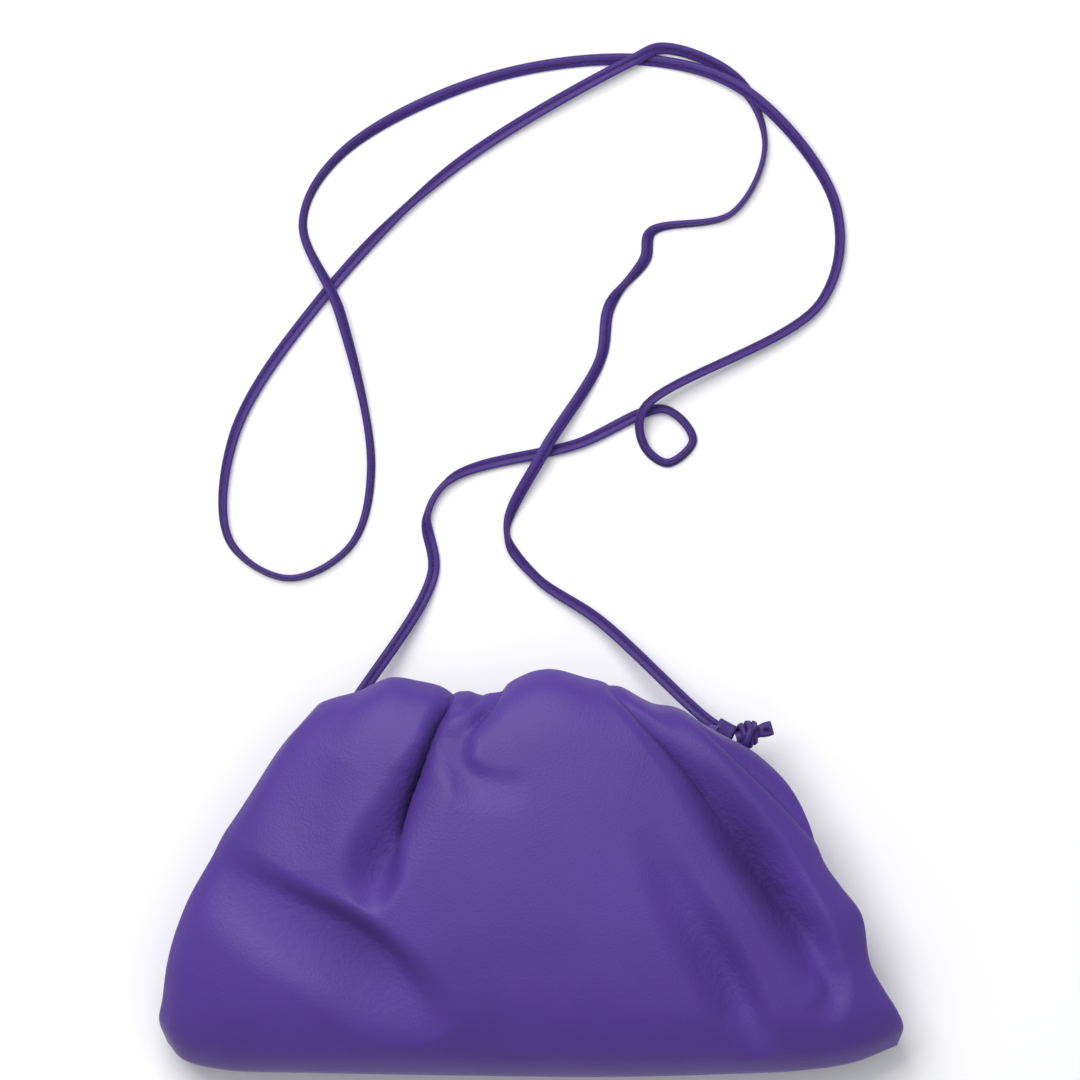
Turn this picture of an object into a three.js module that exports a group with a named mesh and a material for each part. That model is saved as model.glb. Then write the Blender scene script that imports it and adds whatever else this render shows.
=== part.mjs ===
// A soft gathered leather pouch bag with a thin shoulder strap, lying on its back.
// X runs along the mouth, Y from the bottom seam to the gathered top, Z up from the surface.
// The origin is at the middle of the bag's box, on the surface that the bag lies on.
import * as THREE from 'three';

// Driving dimensions in millimetres
const bagWidth = 220;
const bagHeight = 120.5;
const leatherWall = 1.6;
const seamGap = 0.3;
const clearance = 0.3;
const sleeveRoom = 0.5;
const frontPuff = 27;
const backSag = 36;
const seamHeight = 21;
const cornerHeight = 13;
const mouthHeight = 25;
const mouthSlit = 1.4;
const mouthDepth = 23;
const mouthInset = 3.6;
const frameDepth = 8;
const frameThickness = 4.2;
const frameEndSpace = 8;
const strapDiameter = 3;
const loopLength = 6;
const loopWall = 1.1;
const knotDiameter = 8;
const knotLength = 6;
const knotTail = 4;

// Mesh densities
const frontColumns = 44;
const frontRows = 34;
const backColumns = 28;
const backRows = 22;
const strapSteps = 78;
const strapSides = 8;
const knotSides = 12;
const frameEdgeSegments = 6;
const foldSteps = 6;

// Roundness of the cushion profile across the bag: 2 is an ellipse, more is squarer
const crossRoundness = 2.5;
// Share of the width over which the front leans out over a seam that sits further in
const leanShare = 0.03;
// Share of the height over which that lean grows from the bottom seam up
const leanStart = 0.12;
// Share of a panel next to its seams and mouth where folds die out
const foldFade = 0.08;
// Roundness of a lobe's edge over a fold
const lipPower = 2;
// How far the rim of a side seam points up or down the bag, as a share of its way inward
const sideRimSlope = 0.25;
// How far the rim at the mouth points sideways, as a share of the wall's own slant
const mouthRimSlant = 0.2;
// Radius of a knot between its wraps, and of its two end wraps, as shares of the middle wrap's
const knotWaist = 0.72;
const knotEndWrap = 0.92;
// Share of a wrap's length at its ends where the knot is narrow
const knotWaistShare = 0.05;
// How far a sleeve swells out at its middle, as a share of its wall
const loopSwell = 0.3;

// Outlines seen from the front: x is a share of the bag's width from its middle, y a share of its height
// from the bottom seam. Each runs from its first corner to its last.
const bottomSeam = [
  { x: -0.489, y: 0.084 },
  { x: -0.468, y: 0.042 },
  { x: -0.414, y: 0.017 },
  { x: -0.301, y: 0.010 },
  { x: -0.150, y: 0.005 },
  { x: 0.104, y: 0.000 },
  { x: 0.266, y: 0.007 },
  { x: 0.361, y: 0.015 },
  { x: 0.431, y: 0.034 },
  { x: 0.491, y: 0.076 },
];
const leftEdge = [
  { x: -0.489, y: 0.084 },
  { x: -0.500, y: 0.134 },
  { x: -0.495, y: 0.192 },
  { x: -0.488, y: 0.283 },
  { x: -0.474, y: 0.373 },
  { x: -0.437, y: 0.523 },
  { x: -0.383, y: 0.676 },
  { x: -0.330, y: 0.823 },
  { x: -0.298, y: 0.885 },
];
const rightEdge = [
  { x: 0.491, y: 0.076 },
  { x: 0.500, y: 0.120 },
  { x: 0.490, y: 0.165 },
  { x: 0.473, y: 0.214 },
  { x: 0.454, y: 0.280 },
  { x: 0.442, y: 0.400 },
  { x: 0.415, y: 0.467 },
  { x: 0.391, y: 0.531 },
  { x: 0.376, y: 0.612 },
  { x: 0.344, y: 0.717 },
  { x: 0.299, y: 0.796 },
  { x: 0.266, y: 0.832 },
  { x: 0.247, y: 0.851 },
];
const frontCrest = [
  { x: -0.298, y: 0.885 },
  { x: -0.285, y: 0.914 },
  { x: -0.266, y: 0.929 },
  { x: -0.232, y: 0.946 },
  { x: -0.188, y: 0.980 },
  { x: -0.149, y: 0.971 },
  { x: -0.112, y: 0.957 },
  { x: -0.064, y: 0.945 },
  { x: -0.026, y: 0.973 },
  { x: 0.002, y: 0.995 },
  { x: 0.030, y: 1.000 },
  { x: 0.076, y: 0.978 },
  { x: 0.120, y: 0.962 },
  { x: 0.165, y: 0.919 },
  { x: 0.201, y: 0.904 },
  { x: 0.226, y: 0.875 },
  { x: 0.247, y: 0.851 },
];
// Side seams, where the front and the back panel meet
const leftSeam = [
  { x: -0.489, y: 0.084 },
  { x: -0.498, y: 0.132 },
  { x: -0.494, y: 0.192 },
  { x: -0.486, y: 0.280 },
  { x: -0.470, y: 0.373 },
  { x: -0.430, y: 0.515 },
  { x: -0.368, y: 0.650 },
  { x: -0.302, y: 0.760 },
  { x: -0.237, y: 0.832 },
];
const rightSeam = [
  { x: 0.491, y: 0.076 },
  { x: 0.498, y: 0.120 },
  { x: 0.488, y: 0.165 },
  { x: 0.470, y: 0.214 },
  { x: 0.450, y: 0.280 },
  { x: 0.436, y: 0.395 },
  { x: 0.409, y: 0.460 },
  { x: 0.385, y: 0.524 },
  { x: 0.366, y: 0.600 },
  { x: 0.334, y: 0.700 },
  { x: 0.289, y: 0.778 },
  { x: 0.238, y: 0.835 },
];
const backCrest = [
  { x: -0.237, y: 0.832 },
  { x: -0.222, y: 0.850 },
  { x: -0.190, y: 0.885 },
  { x: -0.130, y: 0.925 },
  { x: -0.078, y: 0.948 },
  { x: -0.020, y: 0.930 },
  { x: 0.050, y: 0.935 },
  { x: 0.105, y: 0.905 },
  { x: 0.150, y: 0.875 },
  { x: 0.195, y: 0.845 },
  { x: 0.238, y: 0.835 },
];

// Section of a panel from the bottom seam over the top lobe and back down to the mouth.
// up: share of the way from the bottom seam to the crest, back: share of the way from the crest
// back to the mouth, puff: share of the panel's full height above its seam.
const frontSection = [
  { up: 0, back: 0, puff: 0 },
  { up: 0.008, back: 0, puff: 0.24 },
  { up: 0.045, back: 0, puff: 0.52 },
  { up: 0.13, back: 0, puff: 0.79 },
  { up: 0.3, back: 0, puff: 0.96 },
  { up: 0.5, back: 0, puff: 1 },
  { up: 0.7, back: 0, puff: 0.96 },
  { up: 0.86, back: 0, puff: 0.86 },
  { up: 0.96, back: 0, puff: 0.68 },
  { up: 1, back: 0, puff: 0.44 },
  { up: 1, back: 0.14, puff: 0.2 },
  { up: 1, back: 0.5, puff: 0.05 },
  { up: 1, back: 1, puff: 0 },
];
const backSection = [
  { up: 0, back: 0, puff: 0 },
  { up: 0.01, back: 0, puff: 0.2 },
  { up: 0.06, back: 0, puff: 0.48 },
  { up: 0.16, back: 0, puff: 0.78 },
  { up: 0.32, back: 0, puff: 0.95 },
  { up: 0.5, back: 0, puff: 1 },
  { up: 0.68, back: 0, puff: 0.94 },
  { up: 0.84, back: 0, puff: 0.78 },
  { up: 0.95, back: 0, puff: 0.55 },
  { up: 1, back: 0, puff: 0.3 },
  { up: 1, back: 0.2, puff: 0.12 },
  { up: 1, back: 0.55, puff: 0.03 },
  { up: 1, back: 1, puff: 0 },
];

// Folds. x and y place a point of the fold's lowest line as shares of the bag's width and height, and
// y past the crest lies on the roll into the mouth. depth is a share of the front's puff, left and right
// are the reach of its two sides as shares of the bag's height. lip names the side whose edge is a
// rounded lobe that stands over the fold.
const frontFolds = [
  // The deep fold between the left and the middle lobe
  { lip: 'right', rows: [
    { x: -0.086, y: 1.200, depth: 0.01, left: 0.050, right: 0.030 },
    { x: -0.095, y: 0.985, depth: 0.03, left: 0.052, right: 0.034 },
    { x: -0.102, y: 0.937, depth: 0.15, left: 0.056, right: 0.038 },
    { x: -0.108, y: 0.895, depth: 0.36, left: 0.062, right: 0.044 },
    { x: -0.115, y: 0.850, depth: 0.51, left: 0.070, right: 0.050 },
    { x: -0.125, y: 0.790, depth: 0.57, left: 0.082, right: 0.055 },
    { x: -0.136, y: 0.735, depth: 0.57, left: 0.096, right: 0.060 },
    { x: -0.149, y: 0.683, depth: 0.53, left: 0.108, right: 0.065 },
    { x: -0.163, y: 0.629, depth: 0.42, left: 0.116, right: 0.070 },
    { x: -0.176, y: 0.575, depth: 0.24, left: 0.118, right: 0.070 },
    { x: -0.187, y: 0.525, depth: 0.08, left: 0.110, right: 0.070 },
    { x: -0.194, y: 0.490, depth: 0.00, left: 0.090, right: 0.060 },
  ] },
  // The soft rounded hollow that it ends in
  { lip: 'none', rows: [
    { x: -0.162, y: 0.700, depth: 0.00, left: 0.080, right: 0.060 },
    { x: -0.174, y: 0.645, depth: 0.10, left: 0.095, right: 0.066 },
    { x: -0.187, y: 0.592, depth: 0.20, left: 0.105, right: 0.070 },
    { x: -0.197, y: 0.540, depth: 0.26, left: 0.110, right: 0.070 },
    { x: -0.206, y: 0.494, depth: 0.24, left: 0.105, right: 0.068 },
    { x: -0.216, y: 0.455, depth: 0.13, left: 0.095, right: 0.064 },
    { x: -0.228, y: 0.418, depth: 0.00, left: 0.080, right: 0.060 },
  ] },
  // The narrow layer next to it
  { lip: 'right', rows: [
    { x: -0.050, y: 1.200, depth: 0.02, left: 0.040, right: 0.030 },
    { x: -0.056, y: 0.975, depth: 0.03, left: 0.040, right: 0.030 },
    { x: -0.068, y: 0.932, depth: 0.06, left: 0.038, right: 0.030 },
    { x: -0.084, y: 0.908, depth: 0.08, left: 0.034, right: 0.030 },
    { x: -0.098, y: 0.880, depth: 0.06, left: 0.030, right: 0.028 },
    { x: -0.108, y: 0.850, depth: 0.00, left: 0.025, right: 0.025 },
  ] },
  // The short fold at the left of the middle lobe's hump
  { lip: 'right', rows: [
    { x: -0.026, y: 1.200, depth: 0.02, left: 0.040, right: 0.030 },
    { x: -0.036, y: 0.975, depth: 0.06, left: 0.042, right: 0.034 },
    { x: -0.048, y: 0.930, depth: 0.14, left: 0.045, right: 0.040 },
    { x: -0.060, y: 0.897, depth: 0.16, left: 0.048, right: 0.048 },
    { x: -0.073, y: 0.868, depth: 0.12, left: 0.048, right: 0.052 },
    { x: -0.084, y: 0.845, depth: 0.05, left: 0.045, right: 0.052 },
    { x: -0.092, y: 0.825, depth: 0.00, left: 0.040, right: 0.050 },
  ] },
  // The soft hook that it runs into under the hump
  { lip: 'none', rows: [
    { x: -0.070, y: 0.890, depth: 0.00, left: 0.035, right: 0.040 },
    { x: -0.086, y: 0.858, depth: 0.07, left: 0.040, right: 0.050 },
    { x: -0.097, y: 0.826, depth: 0.11, left: 0.042, right: 0.056 },
    { x: -0.100, y: 0.792, depth: 0.11, left: 0.050, right: 0.056 },
    { x: -0.093, y: 0.762, depth: 0.09, left: 0.070, right: 0.050 },
    { x: -0.077, y: 0.740, depth: 0.07, left: 0.090, right: 0.046 },
    { x: -0.054, y: 0.727, depth: 0.04, left: 0.100, right: 0.045 },
    { x: -0.028, y: 0.720, depth: 0.03, left: 0.100, right: 0.045 },
    { x: 0.000, y: 0.714, depth: 0.00, left: 0.090, right: 0.045 },
  ] },
  // The middle lobe's right edge
  { lip: 'left', rows: [
    { x: 0.098, y: 1.200, depth: 0.02, left: 0.028, right: 0.040 },
    { x: 0.104, y: 0.963, depth: 0.05, left: 0.030, right: 0.060 },
    { x: 0.133, y: 0.905, depth: 0.13, left: 0.034, right: 0.075 },
    { x: 0.164, y: 0.843, depth: 0.20, left: 0.042, right: 0.085 },
    { x: 0.202, y: 0.768, depth: 0.25, left: 0.056, right: 0.090 },
    { x: 0.231, y: 0.706, depth: 0.24, left: 0.070, right: 0.090 },
    { x: 0.257, y: 0.646, depth: 0.15, left: 0.080, right: 0.085 },
    { x: 0.283, y: 0.587, depth: 0.04, left: 0.080, right: 0.080 },
    { x: 0.298, y: 0.552, depth: 0.00, left: 0.070, right: 0.070 },
  ] },
  // The long soft valley that it runs out into
  { lip: 'none', rows: [
    { x: 0.202, y: 0.770, depth: 0.00, left: 0.060, right: 0.080 },
    { x: 0.232, y: 0.705, depth: 0.15, left: 0.072, right: 0.085 },
    { x: 0.258, y: 0.645, depth: 0.27, left: 0.082, right: 0.086 },
    { x: 0.284, y: 0.587, depth: 0.35, left: 0.092, right: 0.085 },
    { x: 0.310, y: 0.528, depth: 0.39, left: 0.100, right: 0.080 },
    { x: 0.335, y: 0.468, depth: 0.40, left: 0.108, right: 0.074 },
    { x: 0.357, y: 0.408, depth: 0.37, left: 0.112, right: 0.068 },
    { x: 0.374, y: 0.352, depth: 0.31, left: 0.112, right: 0.064 },
    { x: 0.387, y: 0.297, depth: 0.21, left: 0.105, right: 0.060 },
    { x: 0.398, y: 0.245, depth: 0.10, left: 0.095, right: 0.055 },
    { x: 0.408, y: 0.200, depth: 0.00, left: 0.080, right: 0.050 },
  ] },
  // The step from the second layer to the third at the right end
  { lip: 'left', rows: [
    { x: 0.140, y: 1.200, depth: 0.00, left: 0.018, right: 0.030 },
    { x: 0.168, y: 0.945, depth: 0.00, left: 0.020, right: 0.034 },
    { x: 0.206, y: 0.892, depth: 0.02, left: 0.022, right: 0.038 },
    { x: 0.240, y: 0.838, depth: 0.05, left: 0.024, right: 0.042 },
    { x: 0.272, y: 0.785, depth: 0.09, left: 0.024, right: 0.046 },
    { x: 0.300, y: 0.738, depth: 0.11, left: 0.024, right: 0.048 },
    { x: 0.326, y: 0.692, depth: 0.11, left: 0.024, right: 0.048 },
    { x: 0.350, y: 0.645, depth: 0.09, left: 0.022, right: 0.042 },
    { x: 0.372, y: 0.597, depth: 0.06, left: 0.020, right: 0.036 },
    { x: 0.396, y: 0.545, depth: 0.00, left: 0.018, right: 0.030 },
  ] },
  // The broad valley that runs down from the left side, under the middle lobe's lower edge
  { lip: 'none', rows: [
    { x: -0.452, y: 0.550, depth: 0.00, left: 0.100, right: 0.085 },
    { x: -0.420, y: 0.520, depth: 0.05, left: 0.140, right: 0.085 },
    { x: -0.382, y: 0.481, depth: 0.12, left: 0.170, right: 0.080 },
    { x: -0.340, y: 0.441, depth: 0.19, left: 0.190, right: 0.072 },
    { x: -0.298, y: 0.407, depth: 0.25, left: 0.200, right: 0.066 },
    { x: -0.258, y: 0.373, depth: 0.29, left: 0.205, right: 0.064 },
    { x: -0.223, y: 0.330, depth: 0.30, left: 0.205, right: 0.068 },
    { x: -0.194, y: 0.278, depth: 0.27, left: 0.200, right: 0.078 },
    { x: -0.170, y: 0.220, depth: 0.21, left: 0.185, right: 0.088 },
    { x: -0.148, y: 0.158, depth: 0.12, left: 0.150, right: 0.095 },
    { x: -0.130, y: 0.095, depth: 0.00, left: 0.100, right: 0.085 },
  ] },
  // The soft upright valley low on the right
  { lip: 'none', rows: [
    { x: 0.152, y: 0.620, depth: 0.00, left: 0.060, right: 0.060 },
    { x: 0.173, y: 0.540, depth: 0.04, left: 0.080, right: 0.068 },
    { x: 0.197, y: 0.455, depth: 0.10, left: 0.095, right: 0.072 },
    { x: 0.224, y: 0.372, depth: 0.16, left: 0.110, right: 0.074 },
    { x: 0.250, y: 0.298, depth: 0.21, left: 0.115, right: 0.072 },
    { x: 0.271, y: 0.232, depth: 0.23, left: 0.115, right: 0.070 },
    { x: 0.286, y: 0.170, depth: 0.20, left: 0.110, right: 0.070 },
    { x: 0.298, y: 0.112, depth: 0.11, left: 0.090, right: 0.068 },
    { x: 0.308, y: 0.050, depth: 0.00, left: 0.070, right: 0.065 },
  ] },
  // The shallow dent in the left lobe
  { lip: 'none', rows: [
    { x: -0.255, y: 0.780, depth: 0.00, left: 0.090, right: 0.090 },
    { x: -0.280, y: 0.710, depth: 0.03, left: 0.120, right: 0.110 },
    { x: -0.298, y: 0.640, depth: 0.04, left: 0.130, right: 0.110 },
    { x: -0.306, y: 0.580, depth: 0.03, left: 0.120, right: 0.100 },
    { x: -0.306, y: 0.510, depth: 0.00, left: 0.090, right: 0.090 },
  ] },
  // The small dent with wrinkles at the right side's lower end
  { lip: 'none', rows: [
    { x: 0.392, y: 0.290, depth: 0.00, left: 0.050, right: 0.050 },
    { x: 0.402, y: 0.250, depth: 0.09, left: 0.055, right: 0.055 },
    { x: 0.404, y: 0.210, depth: 0.10, left: 0.055, right: 0.055 },
    { x: 0.396, y: 0.170, depth: 0.05, left: 0.060, right: 0.060 },
    { x: 0.380, y: 0.130, depth: 0.00, left: 0.060, right: 0.060 },
  ] },
];
const backFolds = [-0.2, -0.13, -0.06, 0.01, 0.08, 0.15].map((x, index) => ({
  lip: index % 2 ? 'left' : 'right',
  rows: [
    { x: x * 0.95, y: 1.2, depth: 0.1, left: 0.05, right: 0.05 },
    { x, y: 0.94, depth: 0.14, left: 0.06, right: 0.06 },
    { x: x * 1.15, y: 0.8, depth: 0.1, left: 0.07, right: 0.07 },
    { x: x * 1.3, y: 0.68, depth: 0, left: 0.07, right: 0.07 },
  ],
}));

// The strap's route, chosen by hand, from the right knot to the left one. It starts inside the right
// sleeve at the height of the mouth, comes down to the surface, lies there in loose curves and passes
// over itself in low humps.
const strapRoute = [
  [59.8, 40.6, 22.4], [52.9, 44.3, 22.4], [20.3, 74.2, 6.6], [1, 87.5, 2], [-7.3, 100.2, 2],
  [3.4, 123.9, 5.7], [20.3, 151.5, 2], [23.2, 167.7, 2], [33.6, 181.4, 2], [35.4, 189.4, 2],
  [59.4, 195, 2], [69.1, 215.1, 2], [60.6, 234.7, 2], [39.2, 243.8, 2.6], [29.8, 240.1, 5.2],
  [-24.1, 207.7, 2], [-62, 169.8, 2], [-88.1, 129, 2], [-89.3, 97.9, 2], [-72.1, 86.9, 2],
  [-53.7, 96.4, 2], [-47.5, 118.9, 2], [-56.7, 165.4, 5.6], [-67.7, 192.3, 2], [-56.7, 212.2, 2],
  [-12.3, 235, 2], [36.9, 240, 2], [65, 229.9, 5.2], [90.2, 196.5, 2], [85.7, 168.6, 2],
  [33.1, 136.8, 5.7], [33.6, 125.7, 2], [40.4, 121, 2], [47.8, 127.8, 2], [39.5, 136.9, 2],
  [13.5, 126.6, 2], [-23.5, 116.5, 2], [-30.9, 105.6, 2], [-29.2, 88.1, 2], [-54.6, 46.6, 13],
];

// Axis directions of the sleeves and knots, in degrees from +X seen from above
const rightKnotTurn = 16;
const leftKnotTurn = 215;

const leather = new THREE.MeshStandardMaterial({ color: 0x5b41a0, roughness: 0.45, metalness: 0 });
const strapLeather = new THREE.MeshStandardMaterial({ color: 0x553a9a, roughness: 0.42, metalness: 0 });
const frameMetal = new THREE.MeshStandardMaterial({ color: 0x4a4a50, roughness: 0.4, metalness: 0.8 });

// An outline given as shares, as a curve in millimetres
function outlineCurve(rows) {
  return new THREE.CatmullRomCurve3(
    rows.map((row) => new THREE.Vector3(row.x * bagWidth, (row.y - 0.5) * bagHeight, 0)),
  );
}

// The patch between four outlines: across runs 0 to 1 from left to right, up runs 0 to 1 from the bottom
function patchPoint(outlines, across, up) {
  const bottom = outlines.bottom.getPointAt(across);
  const crest = outlines.crest.getPointAt(across);
  const left = outlines.left.getPointAt(up);
  const right = outlines.right.getPointAt(up);
  const corners = outlines.corners;
  const point = new THREE.Vector3();
  for (const axis of ['x', 'y']) {
    point[axis] = (1 - up) * bottom[axis] + up * crest[axis]
      + (1 - across) * left[axis] + across * right[axis]
      - (1 - across) * (1 - up) * corners.bottomLeft[axis] - across * (1 - up) * corners.bottomRight[axis]
      - (1 - across) * up * corners.topLeft[axis] - across * up * corners.topRight[axis];
  }
  return point;
}

function panelOutlines(bottom, left, right, crest) {
  const outlines = {
    bottom: outlineCurve(bottom),
    left: outlineCurve(left),
    right: outlineCurve(right),
    crest: outlineCurve(crest),
  };
  outlines.corners = {
    bottomLeft: outlines.left.getPoint(0),
    bottomRight: outlines.right.getPoint(0),
    topLeft: outlines.left.getPoint(1),
    topRight: outlines.right.getPoint(1),
  };
  return outlines;
}

// Evenly spaced rows along a panel's section, measured on its real lengths
function sectionRows(section, puffHeight, count) {
  const curve = new THREE.CatmullRomCurve3(section.map(
    (row) => new THREE.Vector3(row.up * bagHeight, row.back * mouthDepth, row.puff * puffHeight),
  ));
  return curve.getSpacedPoints(count).map((point) => ({
    up: THREE.MathUtils.clamp(point.x / bagHeight, 0, 1),
    back: THREE.MathUtils.clamp(point.y / mouthDepth, 0, 1),
    puff: Math.max(point.z / puffHeight, 0),
  }));
}

// The cushion profile across the bag: where a column lies and how much of the puff it has
function crossProfile(share) {
  const angle = Math.PI * share;
  const power = 2 / crossRoundness;
  const cosine = Math.cos(angle);
  return {
    across: 0.5 - 0.5 * Math.sign(cosine) * Math.abs(cosine) ** power,
    puff: Math.max(Math.sin(angle), 0) ** power,
  };
}

function smoothStep(value) {
  const t = THREE.MathUtils.clamp(value, 0, 1);
  return t * t * (3 - 2 * t);
}

// Height of the seam plane between the two panels
function seamPlane(across, up) {
  const bow = Math.sin(Math.PI * across) ** 0.5;
  const bottom = cornerHeight + (seamHeight - cornerHeight) * bow;
  return bottom + (mouthHeight - bottom) * up;
}

// A fold as a list of short straight pieces in millimetres
function foldLine(fold) {
  const place = new THREE.CatmullRomCurve3(fold.rows.map(
    (row) => new THREE.Vector3(row.x * bagWidth, (row.y - 0.5) * bagHeight, 0),
  ));
  const reach = new THREE.CatmullRomCurve3(fold.rows.map(
    (row) => new THREE.Vector3(row.depth * frontPuff, row.left * bagHeight, row.right * bagHeight),
  ));
  const steps = foldSteps * (fold.rows.length - 1);
  const samples = [];
  for (let i = 0; i <= steps; i += 1) {
    const at = place.getPoint(i / steps);
    const size = reach.getPoint(i / steps);
    samples.push({ x: at.x, y: at.y, depth: Math.max(size.x, 0), left: size.y, right: size.z });
  }
  return { lip: fold.lip, samples };
}

// How deep one fold is at a place of the panel
function foldDepth(line, x, y) {
  let best = { distance: Infinity };
  for (let i = 1; i < line.samples.length; i += 1) {
    const from = line.samples[i - 1];
    const to = line.samples[i];
    const dx = to.x - from.x;
    const dy = to.y - from.y;
    const share = THREE.MathUtils.clamp(((x - from.x) * dx + (y - from.y) * dy) / (dx * dx + dy * dy), 0, 1);
    const offX = x - from.x - share * dx;
    const offY = y - from.y - share * dy;
    const distance = Math.hypot(offX, offY);
    if (distance < best.distance) {
      best = { distance, share, from, to, onRight: dx * offY - dy * offX > 0 };
    }
  }
  const mix = (name) => THREE.MathUtils.lerp(best.from[name], best.to[name], best.share);
  const side = best.onRight ? 'right' : 'left';
  const near = best.distance / mix(side);
  if (near >= 1) return 0;
  const rise = line.lip === side ? (1 - near) ** lipPower : 0.5 + 0.5 * Math.cos(Math.PI * near);
  return mix('depth') * rise;
}

// All folds together: where two meet the deeper one rules
function foldSum(lines, x, y) {
  let sum = 0;
  for (const line of lines) sum += foldDepth(line, x, y) ** 2;
  return Math.sqrt(sum);
}

// The outer surface of a panel as rows of points, each with the height where its side of the seam starts.
// side is 1 for the front and -1 for the back.
function panelSurface(spec) {
  const rows = sectionRows(spec.section, spec.puff, spec.rows);
  const lines = spec.folds.map(foldLine);
  const grid = rows.map((row) => {
    const line = [];
    for (let column = 0; column <= spec.columns; column += 1) {
      const profile = crossProfile(column / spec.columns);
      const leaning = spec.seams ? leanShare * smoothStep(row.up / leanStart) : 0;
      const inside = THREE.MathUtils.clamp((profile.across - leaning) / (1 - 2 * leaning), 0, 1);
      const base = patchPoint(spec.outlines, inside, row.up);
      const edgeShare = Math.min(profile.across, 1 - profile.across);
      if (spec.seams && edgeShare < leanShare) {
        const edge = profile.across < 0.5 ? 'left' : 'right';
        const lean = 1 - Math.sin((Math.PI / 2) * (edgeShare / leanShare));
        base.addScaledVector(spec.seams[edge].getPointAt(row.up), lean);
        base.addScaledVector(spec.outlines[edge].getPointAt(row.up), -lean);
      }
      const mouth = new THREE.Vector3(
        THREE.MathUtils.lerp(spec.mouth.left, spec.mouth.right, profile.across), spec.mouth.y, 0,
      );
      const crestY = base.y;
      base.lerp(mouth, row.back);
      const chartY = row.back > 0 ? 2 * crestY - base.y : base.y;
      const gap = THREE.MathUtils.lerp(seamGap, mouthSlit, row.back) / 2;
      const seam = seamPlane(inside, row.up) + spec.side * gap;
      base.z = seam + spec.side * spec.puff * row.puff * profile.puff;
      line.push({ base, chartX: base.x, chartY, seam });
    }
    return line;
  });
  const normals = gridNormals(grid.map((line) => line.map((cell) => cell.base)), spec.side);
  return grid.map((line, i) => line.map((cell, j) => {
    const inside = i > 0 && j > 0 && j < spec.columns && i < grid.length - 1;
    const depth = inside ? foldSum(lines, cell.chartX, cell.chartY) * edgeFade(i, j, spec, grid.length) : 0;
    const point = cell.base.clone().addScaledVector(normals[i][j], -depth);
    if (point.z < 0) point.z = 0;
    return { point, seam: cell.seam };
  }));
}

// Folds die out at the seams and at the mouth
function edgeFade(row, column, spec, rowCount) {
  const sideways = Math.min(column, spec.columns - column) / spec.columns;
  const endwise = Math.min(row, (rowCount - 1 - row) * 2) / rowCount;
  return smoothStep(sideways / foldFade) * smoothStep(endwise / foldFade);
}

// Outward normals of a grid of points
function gridNormals(points, side) {
  return points.map((line, i) => line.map((_, j) => {
    const down = points[Math.max(i - 1, 0)][j];
    const up = points[Math.min(i + 1, points.length - 1)][j];
    const left = line[Math.max(j - 1, 0)];
    const right = line[Math.min(j + 1, line.length - 1)];
    const normal = right.clone().sub(left).cross(up.clone().sub(down)).multiplyScalar(side);
    return normal.normalize();
  }));
}

// A closed leather wall: the outer points, the same points moved in by the wall, and the rim between
function wallGeometry(surface, side) {
  const outer = surface.map((line) => line.map((cell) => cell.point));
  const normals = gridNormals(outer, side);
  const lastRow = outer.length - 1;
  const lastColumn = outer[0].length - 1;
  const middle = outer[Math.round(lastRow / 2)][Math.round(lastColumn / 2)];
  const inner = outer.map((line, i) => line.map((point, j) => {
    const inward = normals[i][j].clone().negate();
    const onSeam = i === 0 || j === 0 || j === lastColumn;
    if (onSeam) {
      inward.subVectors(middle, point).setZ(0);
      if (i > 0) inward.y *= sideRimSlope;
      inward.normalize();
    }
    if (i === lastRow) inward.set(inward.x * mouthRimSlant, 0, side).normalize();
    const moved = point.clone().addScaledVector(inward, leatherWall);
    if (side < 0 && point.z <= 0) moved.z = leatherWall;
    const { seam } = surface[i][j];
    moved.z = side > 0 ? Math.max(moved.z, seam) : Math.min(moved.z, seam);
    return moved;
  }));
  const positions = [];
  for (const grid of [outer, inner]) {
    for (const line of grid) for (const point of line) positions.push(point.x, point.y, point.z);
  }
  const columns = lastColumn + 1;
  const innerStart = outer.length * columns;
  const index = [];
  const quad = (a, b, c, d) => {
    if (side > 0) index.push(a, b, c, a, c, d);
    else index.push(a, c, b, a, d, c);
  };
  for (let i = 0; i < lastRow; i += 1) {
    for (let j = 0; j < lastColumn; j += 1) {
      const at = i * columns + j;
      quad(at, at + 1, at + columns + 1, at + columns);
      quad(innerStart + at, innerStart + at + columns, innerStart + at + columns + 1, innerStart + at + 1);
    }
  }
  const rim = [];
  for (let j = 0; j <= lastColumn; j += 1) rim.push(j);
  for (let i = 1; i <= lastRow; i += 1) rim.push(i * columns + lastColumn);
  for (let j = lastColumn - 1; j >= 0; j -= 1) rim.push(lastRow * columns + j);
  for (let i = lastRow - 1; i > 0; i -= 1) rim.push(i * columns);
  rim.forEach((at, k) => {
    const next = rim[(k + 1) % rim.length];
    quad(at, innerStart + at, innerStart + next, next);
  });
  const geometry = new THREE.BufferGeometry();
  geometry.setAttribute('position', new THREE.Float32BufferAttribute(positions, 3));
  geometry.setIndex(index);
  geometry.computeVertexNormals();
  return geometry;
}

// The line in the front view where both panels end at the frame
const leftCorner = leftSeam[leftSeam.length - 1];
const rightCorner = rightSeam[rightSeam.length - 1];
const mouthLine = {
  left: leftCorner.x * bagWidth + mouthInset,
  right: rightCorner.x * bagWidth - mouthInset,
  y: bagHeight / 2 - mouthDepth,
};

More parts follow.
